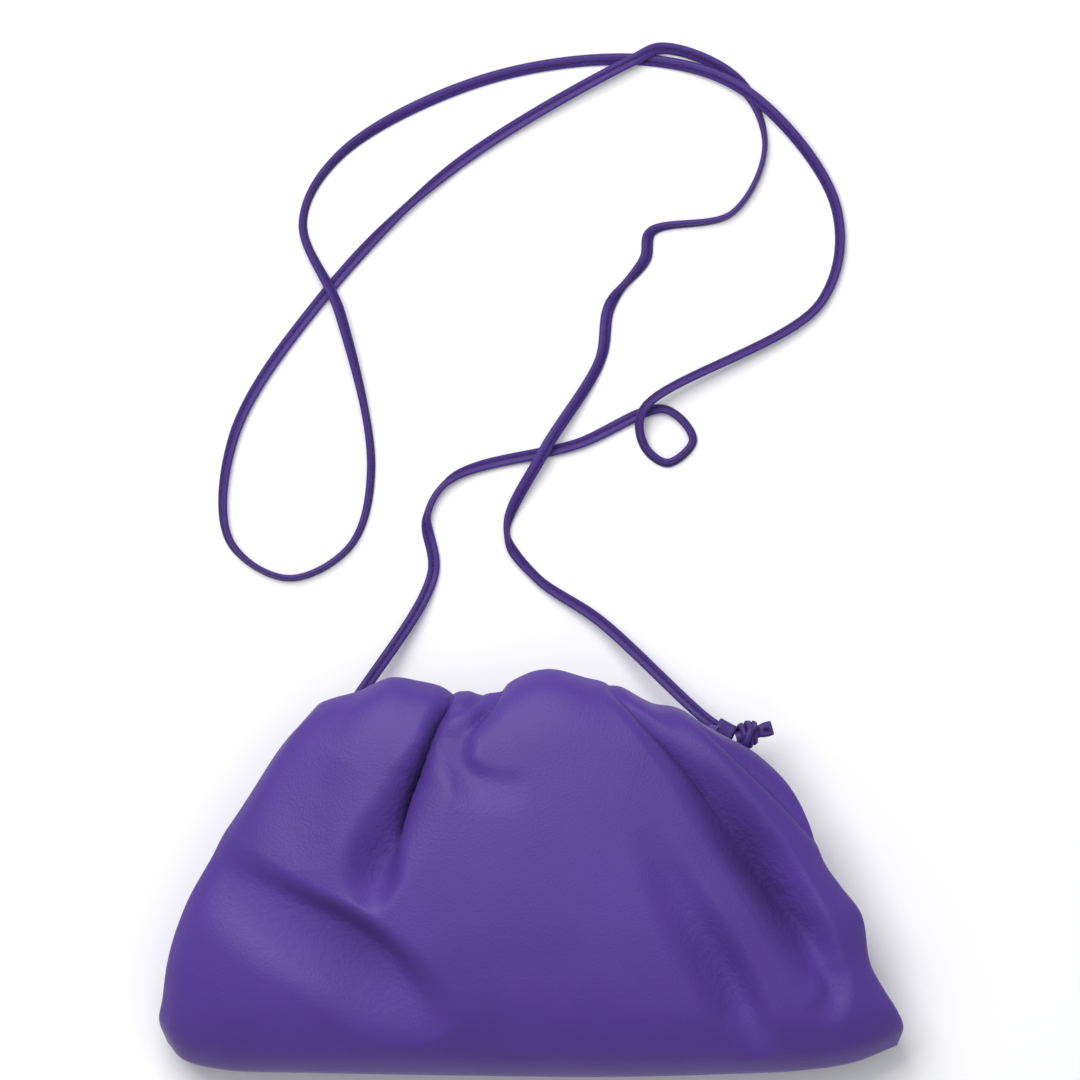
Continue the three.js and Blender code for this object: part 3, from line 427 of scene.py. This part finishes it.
def grid_normals(points, side):
    """Unit normals of a grid of points, out of the panel."""
    along = np.gradient(points, axis=1)
    up = np.gradient(points, axis=0)
    normal = np.cross(along, up) * side
    return normal / np.maximum(np.linalg.norm(normal, axis=-1, keepdims=True), 1e-12)


def seam_plane(across, up):
    """Height of the middle between the panels, low at the bottom corners and high at the mouth."""
    bottom = CORNER_HEIGHT + (SEAM_HEIGHT - CORNER_HEIGHT) * np.sin(np.pi * across) ** 0.5
    return bottom + (MOUTH_HEIGHT - bottom) * up


def panel_surface(spec):
    """The outer skin of a panel as a grid of points, and the shade painted in its folds."""
    section = by_length([
        (up * BAG_HEIGHT, back * MOUTH_DEPTH, puff * spec["puff"]) for up, back, puff in spec["section"]
    ])(np.linspace(0, 1, spec["rows"] + 1))
    up = np.clip(section[:, 0] / BAG_HEIGHT, 0, 1)[:, None]
    back = np.clip(section[:, 1] / MOUTH_DEPTH, 0, 1)[:, None]
    puff = np.maximum(section[:, 2], 0)[:, None]
    angle = np.pi * np.linspace(0, 1, spec["columns"] + 1)
    power = 2 / CROSS_ROUNDNESS
    across = (0.5 - 0.5 * np.sign(np.cos(angle)) * np.abs(np.cos(angle)) ** power)[None, :]
    cross_puff = (np.maximum(np.sin(angle), 0) ** power)[None, :]
    curves = {name: outline(spec[name]) for name in ("bottom", "crest", "left", "right")}
    left, right = curves["left"](up[:, 0])[:, None, :], curves["right"](up[:, 0])[:, None, :]
    u, v = across[..., None], up[..., None]
    if "seams" in spec:
        leaning = LEAN_SHARE * smooth_step(v / LEAN_START)
        u = np.clip((u - leaning) / (1 - 2 * leaning), 0, 1)
    grid_u = np.broadcast_to(u[..., 0], (len(puff), across.shape[1]))
    low, high = curves["bottom"](grid_u), curves["crest"](grid_u)
    flat = (
        (1 - v) * low + v * high + (1 - u) * left + u * right
        - (1 - u) * (1 - v) * left[0] - u * (1 - v) * right[0]
        - (1 - u) * v * left[-1] - u * v * right[-1]
    )
    if "seams" in spec:
        left_seam, right_seam = spec["seams"]
        for edge, seam, nearness in ((left, left_seam, across), (right, right_seam, 1 - across)):
            lean = 1 - np.sin(np.pi / 2 * np.clip(nearness / LEAN_SHARE, 0, 1))[..., None]
            flat = flat + lean * (outline(seam)(up[:, 0])[:, None, :] - edge)
    mouth = np.stack([
        MOUTH_LEFT + (MOUTH_RIGHT - MOUTH_LEFT) * across[0], np.full(across.shape[1], MOUTH_Y),
    ], axis=-1)[None]
    crest_y = flat[..., 1].copy()
    flat = flat + back[..., None] * (mouth - flat)
    chart_y = np.where(back > 0, 2 * crest_y - flat[..., 1], flat[..., 1])
    gap = (SEAM_GAP + (MOUTH_SLIT - SEAM_GAP) * back) / 2
    height = seam_plane(u[..., 0], up) + spec["side"] * (gap + puff * cross_puff)
    base = np.concatenate([flat, height[..., None]], axis=-1)
    normals = grid_normals(base, spec["side"])
    shapes = [fold_shape(fold, base[..., 0], chart_y) for fold in spec["folds"]]
    folds = np.sqrt(sum(depth**2 for depth, _, _ in shapes))
    painted_darkness = np.sqrt(sum(dark**2 for _, _, dark in shapes))
    rows, columns = folds.shape
    sideways = np.minimum(np.arange(columns), np.arange(columns)[::-1]) / columns
    endwise = np.minimum(np.arange(rows), np.arange(rows)[::-1] * 2) / rows
    fade = smooth_step(sideways / FOLD_FADE)[None, :] * smooth_step(endwise / FOLD_FADE)[:, None]
    folds = folds * fade
    points = base - normals * (folds * FRONT_PUFF)[..., None]
    points[..., :2] += sum(lean for _, lean, _ in shapes) * fade[..., None]
    points[..., 2] = np.maximum(points[..., 2], 0)
    return points, painted_darkness * fade


def mesh_object(name, points, faces):
    """A smooth piece of the given points and faces."""
    mesh = bpy.data.meshes.new(name)
    mesh.from_pydata([tuple(p) for p in points], [], faces)
    mesh.polygons.foreach_set("use_smooth", [True] * len(mesh.polygons))
    mesh.update()
    piece = bpy.data.objects.new(name, mesh)
    bpy.context.scene.collection.objects.link(piece)
    return piece


def set_painted_shade(piece, values):
    """Gives each point of a piece the painted shade that its material reads: darkness for hollows that lie in
    shade.
    """
    attribute = piece.data.attributes.new("painted_shade", "FLOAT", "POINT")
    attribute.data.foreach_set("value", np.asarray(values).astype(np.float32))


def wall_object(name, outer, side, painted_darkness):
    """A closed leather wall: the fine outer skin, a coarser inner skin and the rim between them."""
    normals = grid_normals(outer, side)
    inner = (outer - normals * LEATHER_WALL)[::2, ::2].copy()
    coarse = outer[::2, ::2]
    rows, columns = outer.shape[:2]
    middle = outer[rows // 2, columns // 2]
    for edge in ((0, slice(None)), (slice(None), 0), (slice(None), -1)):
        rim_points = coarse[edge]
        inward = middle - rim_points
        inward[:, 2] = 0
        if edge[0] != 0:
            inward[:, 1] *= RIM_SLOPE
        inward /= np.linalg.norm(inward, axis=1, keepdims=True)
        inner[edge] = rim_points + inward * LEATHER_WALL
    for block in (np.s_[:CORNER_ROWS, :CORNER_COLUMNS], np.s_[:CORNER_ROWS, -CORNER_COLUMNS:]):
        rim_points = coarse[block]
        inward = (middle - rim_points) * [1, 1, 0]
        inner[block] = rim_points + inward * LEATHER_WALL / np.linalg.norm(inward, axis=-1, keepdims=True)
    inner[-1] = outer[-1, ::2] + [0, 0, side * LEATHER_WALL]
    if side < 0:
        lying = coarse[..., 2] <= 1e-6
        inner[..., 2] = np.where(lying, LEATHER_WALL, inner[..., 2])
    inner_rows, inner_columns = inner.shape[:2]
    start = rows * columns
    faces = []
    for i in range(rows - 1):
        for j in range(columns - 1):
            at = i * columns + j
            quad = (at, at + 1, at + columns + 1, at + columns)
            faces.append(quad if side > 0 else quad[::-1])
    for i in range(inner_rows - 1):
        for j in range(inner_columns - 1):
            at = start + i * inner_columns + j
            quad = (at, at + inner_columns, at + inner_columns + 1, at + 1)
            faces.append(quad if side > 0 else quad[::-1])
    ring = [(0, j) for j in range(columns)]
    ring += [(i, columns - 1) for i in range(1, rows)]
    ring += [(rows - 1, j) for j in range(columns - 2, -1, -1)]
    ring += [(i, 0) for i in range(rows - 2, 0, -1)]
    for k in range(0, len(ring), 2):
        a, b, c = ring[k], ring[k + 1], ring[(k + 2) % len(ring)]
        a_out, b_out, c_out = (i * columns + j for i, j in (a, b, c))
        a_in, c_in = (start + (i // 2) * inner_columns + j // 2 for i, j in (a, c))
        for face in ((a_out, a_in, b_out), (b_out, a_in, c_in), (b_out, c_in, c_out)):
            faces.append(face if side > 0 else face[::-1])
    points = np.vstack([outer.reshape(-1, 3), inner.reshape(-1, 3)])
    piece = mesh_object(name, points, faces)
    set_painted_shade(piece, np.concatenate([painted_darkness.reshape(-1), np.zeros(inner_rows * inner_columns)]))
    return piece


MOUTH_LEFT = LEFT_SEAM[-1][0] * BAG_WIDTH + MOUTH_INSET
MOUTH_RIGHT = RIGHT_SEAM[-1][0] * BAG_WIDTH - MOUTH_INSET
MOUTH_Y = BAG_HEIGHT / 2 - MOUTH_DEPTH


def make_camera():
    """The camera straight above the photograph's middle."""
    data = bpy.data.cameras.new("camera")
    data.sensor_width = SENSOR
    data.lens = SENSOR * CAMERA_HEIGHT / PHOTO_WIDTH
    data.clip_end = 10
    camera = bpy.data.objects.new("camera", data)
    camera.location = (PHOTO_CENTRE[0], PHOTO_CENTRE[1], CAMERA_HEIGHT)
    bpy.context.scene.collection.objects.link(camera)
    bpy.context.scene.camera = camera


def rounded_ring(half_width, half_height, powers, sides):
    """A rounded section: powers under 1 make its two directions squarer."""
    ring = []
    for angle in np.linspace(0, 2 * math.pi, sides, endpoint=False):
        c, s = math.cos(angle), math.sin(angle)
        x = half_width * math.copysign(abs(c) ** powers[0], c)
        y = half_height * math.copysign(abs(s) ** powers[1], s)
        ring.append((x, y))
    return ring


def strap_section():
    """The strap's section: a folded band with a groove along its face, and how far each point is in it."""
    ring, in_groove = [], []
    for x, y in rounded_ring(STRAP_WIDTH / 2, STRAP_THICKNESS / 2, STRAP_POWERS, STRAP_SIDES):
        share = math.exp(-(((x - STITCH_SHIFT) / GROOVE_WIDTH) ** 2)) if y > 0 else 0
        ring.append((x, y - GROOVE_DEPTH * share))
        in_groove.append(share)
    return ring, in_groove


def ring_faces(count, steps, closed):
    """Faces between rings of points, with flat ends unless the last ring joins the first."""
    faces = []
    for i in range(steps if closed else steps - 1):
        start, after = i * count, (i + 1) % steps * count
        for k in range(count):
            nxt = (k + 1) % count
            faces.append((start + k, start + nxt, after + nxt, after + k))
    if not closed:
        faces.append(tuple(range(count))[::-1])
        faces.append(tuple(range((steps - 1) * count, steps * count)))
    return faces


def swept(line, flat_axes, face_axes, ring, closed=False):
    """Points and faces of a section carried along a line, with flat ends unless it closes on itself."""
    ring = np.array(ring)
    points = (
        line[:, None] + flat_axes[:, None] * ring[None, :, :1] + face_axes[:, None] * ring[None, :, 1:]
    ).reshape(-1, 3)
    return points, ring_faces(len(ring), len(line), closed)


def joined(shells):
    """Several closed shells as the points and faces of one piece."""
    points, faces, start = [], [], 0
    for shell_points, shell_faces in shells:
        points.append(shell_points)
        faces += [tuple(start + k for k in face) for face in shell_faces]
        start += len(shell_points)
    return np.vstack(points), faces


def make_strap():
    """The strap and the stitches in its groove, with the line that it follows."""
    line = spline(np.array(STRAP_ROUTE, float) * MM, STRAP_STEPS)
    place = np.arange(len(line)) / STRAP_STEPS
    turns = np.radians(np.interp(place, *zip(*STRAP_TURNS)))
    kernel = np.hanning(TURN_BLUR)
    padded = np.pad(turns, TURN_BLUR // 2, mode="edge")
    turns = np.convolve(padded, kernel / kernel.sum(), mode="valid")
    tangent = np.gradient(line, axis=0)
    tangent /= np.linalg.norm(tangent, axis=1, keepdims=True)
    sideways = np.cross([0, 0, 1.0], tangent)
    sideways /= np.linalg.norm(sideways, axis=1, keepdims=True)
    upward = np.cross(tangent, sideways)
    half_height = np.hypot(np.sin(turns) * STRAP_WIDTH / 2, np.cos(turns) * STRAP_THICKNESS / 2)
    lifted = np.maximum(line[:, 2] - ROUTE_REST, 0)
    line[:, 2] = lifted + half_height + FLOOR_CLEARANCE
    cos, sin = np.cos(turns)[:, None], np.sin(turns)[:, None]
    flat_axes = sideways * cos + upward * sin
    face_axes = upward * cos - sideways * sin
    section, in_groove = strap_section()
    strap = mesh_object("strap", *swept(line, flat_axes, face_axes, section))
    # Painted shade in the strap's groove
    set_painted_shade(strap, np.tile(np.array(in_groove) * GROOVE_SHADE, len(line)))

    along = length_along(line)
    stitch_ring = rounded_ring(STITCH_THREAD / 2, STITCH_THREAD / 2, (1, 1), STITCH_SIDES)
    level = STRAP_THICKNESS / 2 - GROOVE_DEPTH
    arch = np.array(STITCH_ARCH)[:, None] * STITCH_THREAD
    shells = []
    for start in np.arange(2 * STITCH_PITCH, along[-1] - 2 * STITCH_PITCH, STITCH_PITCH):
        at = np.linspace(start, start + STITCH_LENGTH, len(STITCH_ARCH))
        place, flat, face = (values_at(at, along, rows) for rows in (line, flat_axes, face_axes))
        shells.append(swept(place + face * (level + arch) + flat * STITCH_SHIFT, flat, face, stitch_ring))
    stitches = mesh_object("strap_stitches", *joined(shells))
    return strap, stitches, line, float(along[-1])


def frame_of(direction):
    """Three axes of a piece: along it, level across it, and up out of it."""
    along = np.array(direction, float)
    along /= np.linalg.norm(along)
    across = np.cross([0, 0, 1.0], along)
    across /= np.linalg.norm(across)
    return along, across, np.cross(along, across)


def make_sleeve(name, centre, direction):
    """A short flat leather sleeve: a rounded tube with a turned edge at both ends."""
    along, across, up = frame_of(direction)
    points = []
    for outward, end, step in SLEEVE_PROFILE:
        middle = centre + along * (end * SLEEVE_LENGTH / 2 + step * MM)
        half_width, half_height = (size + outward * SLEEVE_WALL for size in SLEEVE_OPENING)
        for x, y in rounded_ring(half_width, half_height, SLEEVE_POWERS, SLEEVE_SIDES):
            points.append(middle + across * x + up * y)
    return mesh_object(name, points, ring_faces(SLEEVE_SIDES, len(SLEEVE_PROFILE), closed=True))


def make_knot(name, foot, direction):
    """A stopper knot: wraps of the flat strap round its own core, a strand across them and a short tail."""
    along, across, up = frame_of(direction)

    def place(x, y, z):
        return foot + along * x * MM + across * y * MM + up * z * MM

    def band(route, size, closed=False):
        line = np.array([place(*p) for p in route])
        if closed:
            tangent = np.roll(line, -1, axis=0) - np.roll(line, 1, axis=0)
        else:
            line = spline(line, STRAND_STEPS)
            tangent = np.gradient(line, axis=0)
        tangent /= np.linalg.norm(tangent, axis=1, keepdims=True)
        outward = line - (foot + along * KNOT_MIDDLE * MM)
        outward -= tangent * np.sum(outward * tangent, axis=1, keepdims=True)
        outward /= np.linalg.norm(outward, axis=1, keepdims=True)
        half_width, half_height = (side / 2 * MM for side in size)
        ring = rounded_ring(half_width, half_height, BAND_POWERS, BAND_SIDES)
        edges = [abs(x) / half_width if y > -1e-9 else 1 for x, y in ring]
        # Painted shade on the band's sides and underside
        shades.append(np.tile(KNOT_EDGE_SHADE * np.array(edges) ** 4, len(line)))
        return swept(line, np.cross(tangent, outward), outward, ring, closed)

    shells, shades = [], []
    for middle, radius, tilt, skew, width in KNOT_WRAPS:
        turn = np.linspace(0, 2 * math.pi, WRAP_STEPS, endpoint=False)
        route = [
            (middle + tilt * math.sin(a + skew), radius * math.cos(a), WRAP_FLATNESS * radius * math.sin(a))
            for a in turn
        ]
        shells.append(band(route, (width, WRAP_THICKNESS), closed=True))
    shells.append(band(KNOT_STRAND, STRAND_SIZE))
    shells.append(band(KNOT_CORE, CORE_SIZE))
    tail, slot = [], []
    for x, size in zip(TAIL_PLACES, TAIL_SIZES):
        for y, z in rounded_ring(size * TAIL_HALF[0], size * TAIL_HALF[1], TAIL_POWERS, TAIL_SIDES):
            off = ((x - SLOT_PLACE) / SLOT_HALF_LENGTH) ** 2 + (y / SLOT_HALF_WIDTH) ** 2
            pressed = math.exp(-off) if z > 0 else 0
            tail.append(place(x, y, z - SLOT_DEPTH * pressed))
            slot.append(pressed)
    shells.append((np.array(tail), ring_faces(TAIL_SIDES, len(TAIL_PLACES), closed=False)))
    knot = mesh_object(name, *joined(shells))
    # Painted shade at the wraps' edges and in the pressed slot
    set_painted_shade(knot, np.concatenate(shades + [slot]))
    return knot


make_camera()
strap, stitches, strap_line, strap_length = make_strap()
ENDS = []
for side, end, before, turn in (
    ("right", STRAP_ROUTE[0], STRAP_ROUTE[1], RIGHT_KNOT_TURN),
    ("left", STRAP_ROUTE[-1], STRAP_ROUTE[-2], LEFT_KNOT_TURN),
):
    last = np.array(end) * MM
    outward = last - np.array(before) * MM
    outward /= np.linalg.norm(outward)
    axis = np.array([math.cos(math.radians(turn)), math.sin(math.radians(turn)), 0])
    slant = math.sqrt(max(1 - (outward @ axis) ** 2, 0))
    centre = last - outward * (SLEEVE_LENGTH / 2 + END_GAP)
    foot = last + outward * (END_GAP + slant * KNOT_FOOT)
    ENDS.append((make_sleeve("sleeve_" + side, centre, -outward), "strap_loop_" + side))
    ENDS.append((make_knot("stopper_knot_" + side, foot, axis), "knot_" + side))

front_points, front_painted_darkness = panel_surface({
    "bottom": BOTTOM_SEAM, "left": LEFT_EDGE, "right": RIGHT_EDGE, "crest": FRONT_CREST,
    "seams": (LEFT_SEAM, RIGHT_SEAM), "section": FRONT_SECTION, "folds": FRONT_FOLDS,
    "puff": FRONT_PUFF, "side": 1, "rows": 240, "columns": 300,
})
front = wall_object("front_leather", front_points, 1, front_painted_darkness)
back_points, back_painted_darkness = panel_surface({
    "bottom": BOTTOM_SEAM, "left": LEFT_SEAM, "right": RIGHT_SEAM, "crest": BACK_CREST,
    "section": BACK_SECTION, "folds": BACK_FOLDS,
    "puff": BACK_SAG, "side": -1, "rows": 180, "columns": 220,
})
back = wall_object("back_leather", back_points, -1, back_painted_darkness)


def new_material(name):
    """An empty material with its nodes, links and shader."""
    material = bpy.data.materials.new(name)
    material.use_nodes = True
    nodes = material.node_tree.nodes
    return material, nodes, material.node_tree.links, nodes["Principled BSDF"]


def leather(name, colour, grain_size):
    """Soft grained leather with painted shade in its folds, grooves and gaps, where it is also duller and
    wrinkled.
    """
    material, nodes, links, shader = new_material(name)
    shader.inputs["Specular IOR Level"].default_value = 0.26
    shader.inputs["Sheen Weight"].default_value = 0.03
    shader.inputs["Sheen Roughness"].default_value = 0.5
    coords = nodes.new("ShaderNodeTexCoord")
    blotch = nodes.new("ShaderNodeTexNoise")
    blotch.inputs["Scale"].default_value = 22
    blotch.inputs["Detail"].default_value = 3
    ramp = nodes.new("ShaderNodeValToRGB")
    ramp.color_ramp.elements[0].position = 0.3
    ramp.color_ramp.elements[0].color = (*[c * 0.9 for c in colour], 1)
    ramp.color_ramp.elements[1].position = 0.7
    ramp.color_ramp.elements[1].color = (*[c * 1.08 for c in colour], 1)
    # Painted shade: the darkness that each point carries is mixed into the leather's colour
    painted_shade = nodes.new("ShaderNodeAttribute")
    painted_shade.attribute_name = "painted_shade"
    depth = nodes.new("ShaderNodeMapRange")
    depth.interpolation_type = "SMOOTHSTEP"
    depth.inputs["From Min"].default_value = 0.16
    depth.inputs["From Max"].default_value = 0.56
    shade = nodes.new("ShaderNodeMix")
    shade.data_type = "RGBA"
    shade.inputs["B"].default_value = (*FOLD_SHADE_COLOUR, 1)
    dullness = nodes.new("ShaderNodeMapRange")
    dullness.inputs["From Min"].default_value = 0.05
    dullness.inputs["From Max"].default_value = 0.4
    dullness.inputs["To Min"].default_value = 0.48
    dullness.inputs["To Max"].default_value = 0.85
    grain = nodes.new("ShaderNodeTexVoronoi")
    grain.inputs["Scale"].default_value = 1 / grain_size
    bump = nodes.new("ShaderNodeBump")
    bump.inputs["Strength"].default_value = 0.16
    bump.inputs["Distance"].default_value = 0.0004
    wrinkle = nodes.new("ShaderNodeTexNoise")
    wrinkle.inputs["Scale"].default_value = 520
    wrinkle.inputs["Detail"].default_value = 2
    wrinkled = nodes.new("ShaderNodeMath")
    wrinkled.operation = "MULTIPLY"
    wrinkle_bump = nodes.new("ShaderNodeBump")
    wrinkle_bump.inputs["Strength"].default_value = 0.5
    wrinkle_bump.inputs["Distance"].default_value = 0.0035
    links.new(coords.outputs["Object"], blotch.inputs["Vector"])
    links.new(coords.outputs["Object"], grain.inputs["Vector"])
    links.new(coords.outputs["Object"], wrinkle.inputs["Vector"])
    links.new(blotch.outputs["Fac"], ramp.inputs["Fac"])
    links.new(painted_shade.outputs["Fac"], depth.inputs["Value"])
    links.new(depth.outputs["Result"], shade.inputs["Factor"])
    links.new(painted_shade.outputs["Fac"], dullness.inputs["Value"])
    links.new(dullness.outputs["Result"], shader.inputs["Roughness"])
    links.new(ramp.outputs["Color"], shade.inputs["A"])
    links.new(shade.outputs["Result"], shader.inputs["Base Color"])
    links.new(grain.outputs["Distance"], bump.inputs["Height"])
    links.new(wrinkle.outputs["Fac"], wrinkled.inputs[0])
    links.new(painted_shade.outputs["Fac"], wrinkled.inputs[1])
    links.new(wrinkled.outputs["Value"], wrinkle_bump.inputs["Height"])
    links.new(bump.outputs["Normal"], wrinkle_bump.inputs["Normal"])
    links.new(wrinkle_bump.outputs["Normal"], shader.inputs["Normal"])
    return material


def thread(name, colour):
    """Sewing thread with fine slanting strands."""
    material, nodes, links, shader = new_material(name)
    shader.inputs["Roughness"].default_value = 0.6
    coords = nodes.new("ShaderNodeTexCoord")
    strands = nodes.new("ShaderNodeTexWave")
    strands.bands_direction = "DIAGONAL"
    strands.inputs["Scale"].default_value = 900
    ramp = nodes.new("ShaderNodeValToRGB")
    ramp.color_ramp.elements[0].color = (*[c * 0.6 for c in colour], 1)
    ramp.color_ramp.elements[1].color = (*[c * 1.3 for c in colour], 1)
    links.new(coords.outputs["Object"], strands.inputs["Vector"])
    links.new(strands.outputs["Fac"], ramp.inputs["Fac"])
    links.new(ramp.outputs["Color"], shader.inputs["Base Color"])
    return material


def brushed_metal(name):
    """Plain metal brushed along its length."""
    material, nodes, links, shader = new_material(name)
    shader.inputs["Base Color"].default_value = (0.4, 0.4, 0.42, 1)
    shader.inputs["Metallic"].default_value = 1
    coords = nodes.new("ShaderNodeTexCoord")
    stretch = nodes.new("ShaderNodeMapping")
    stretch.inputs["Scale"].default_value = (40, 1500, 1500)
    brushing = nodes.new("ShaderNodeTexNoise")
    brushing.inputs["Scale"].default_value = 1
    spread = nodes.new("ShaderNodeMapRange")
    spread.inputs["To Min"].default_value = 0.28
    spread.inputs["To Max"].default_value = 0.45
    links.new(coords.outputs["Object"], stretch.inputs["Vector"])
    links.new(stretch.outputs["Vector"], brushing.inputs["Vector"])
    links.new(brushing.outputs["Fac"], spread.inputs["Value"])
    links.new(spread.outputs["Result"], shader.inputs["Roughness"])
    return material


# Painted shade: the colour of the leather at the bottom of a deep fold
FOLD_SHADE_COLOUR = (0.014, 0.005, 0.066)
PANEL = leather("panel_leather_look", (0.076, 0.0345, 0.25), 0.7 * MM)
STRAP = leather("strap_leather_look", (0.05, 0.022, 0.175), 0.45 * MM)
THREAD = thread("strap_thread_look", (0.022, 0.008, 0.09))
METAL = brushed_metal("mouth_frame_look")
for piece, material, slot, nodes in (
    (front, PANEL, "panel_leather", ["front_panel"]),
    (back, PANEL, "panel_leather", ["back_panel"]),
    (strap, STRAP, "strap_leather", ["shoulder_strap"]),
    (stitches, THREAD, "strap_leather", []),
    *((piece, STRAP, "strap_leather", [node]) for piece, node in ENDS),
):
    piece.data.materials.append(material)
    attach(piece, "root")
    if nodes:
        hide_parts(*nodes)
for slot in bpy.data.objects["mouth_frame"].material_slots:
    slot.material = METAL


def make_studio():
    """A pale floor, a soft key light from above the mouth, a fill light and a dim sky."""
    mesh = bpy.data.meshes.new("floor")
    corners = [(x * FLOOR_HALF, y * FLOOR_HALF, 0) for x, y in ((-1, -1), (1, -1), (1, 1), (-1, 1))]
    mesh.from_pydata(corners, [], [(0, 1, 2, 3)])
    floor = bpy.data.objects.new("floor", mesh)
    bpy.context.scene.collection.objects.link(floor)
    material, nodes, links, shader = new_material("floor_look")
    shader.inputs["Base Color"].default_value = (0.93, 0.93, 0.93, 1)
    shader.inputs["Roughness"].default_value = 0.9
    mesh.materials.append(material)
    for name, place, energy, size in LIGHTS:
        data = bpy.data.lights.new(name, "AREA")
        data.energy = energy
        data.size = size
        light = bpy.data.objects.new(name, data)
        light.location = place
        light.rotation_euler = (Vector(LIGHT_TARGET) - Vector(place)).to_track_quat("-Z", "Y").to_euler()
        bpy.context.scene.collection.objects.link(light)
    world = bpy.data.worlds.new("studio")
    bpy.context.scene.world = world
    world.use_nodes = True
    world.node_tree.nodes["Background"].inputs["Color"].default_value = (0.95, 0.96, 1, 1)
    world.node_tree.nodes["Background"].inputs["Strength"].default_value = 0.4
    bpy.context.scene.view_settings.view_transform = "Standard"


make_studio()
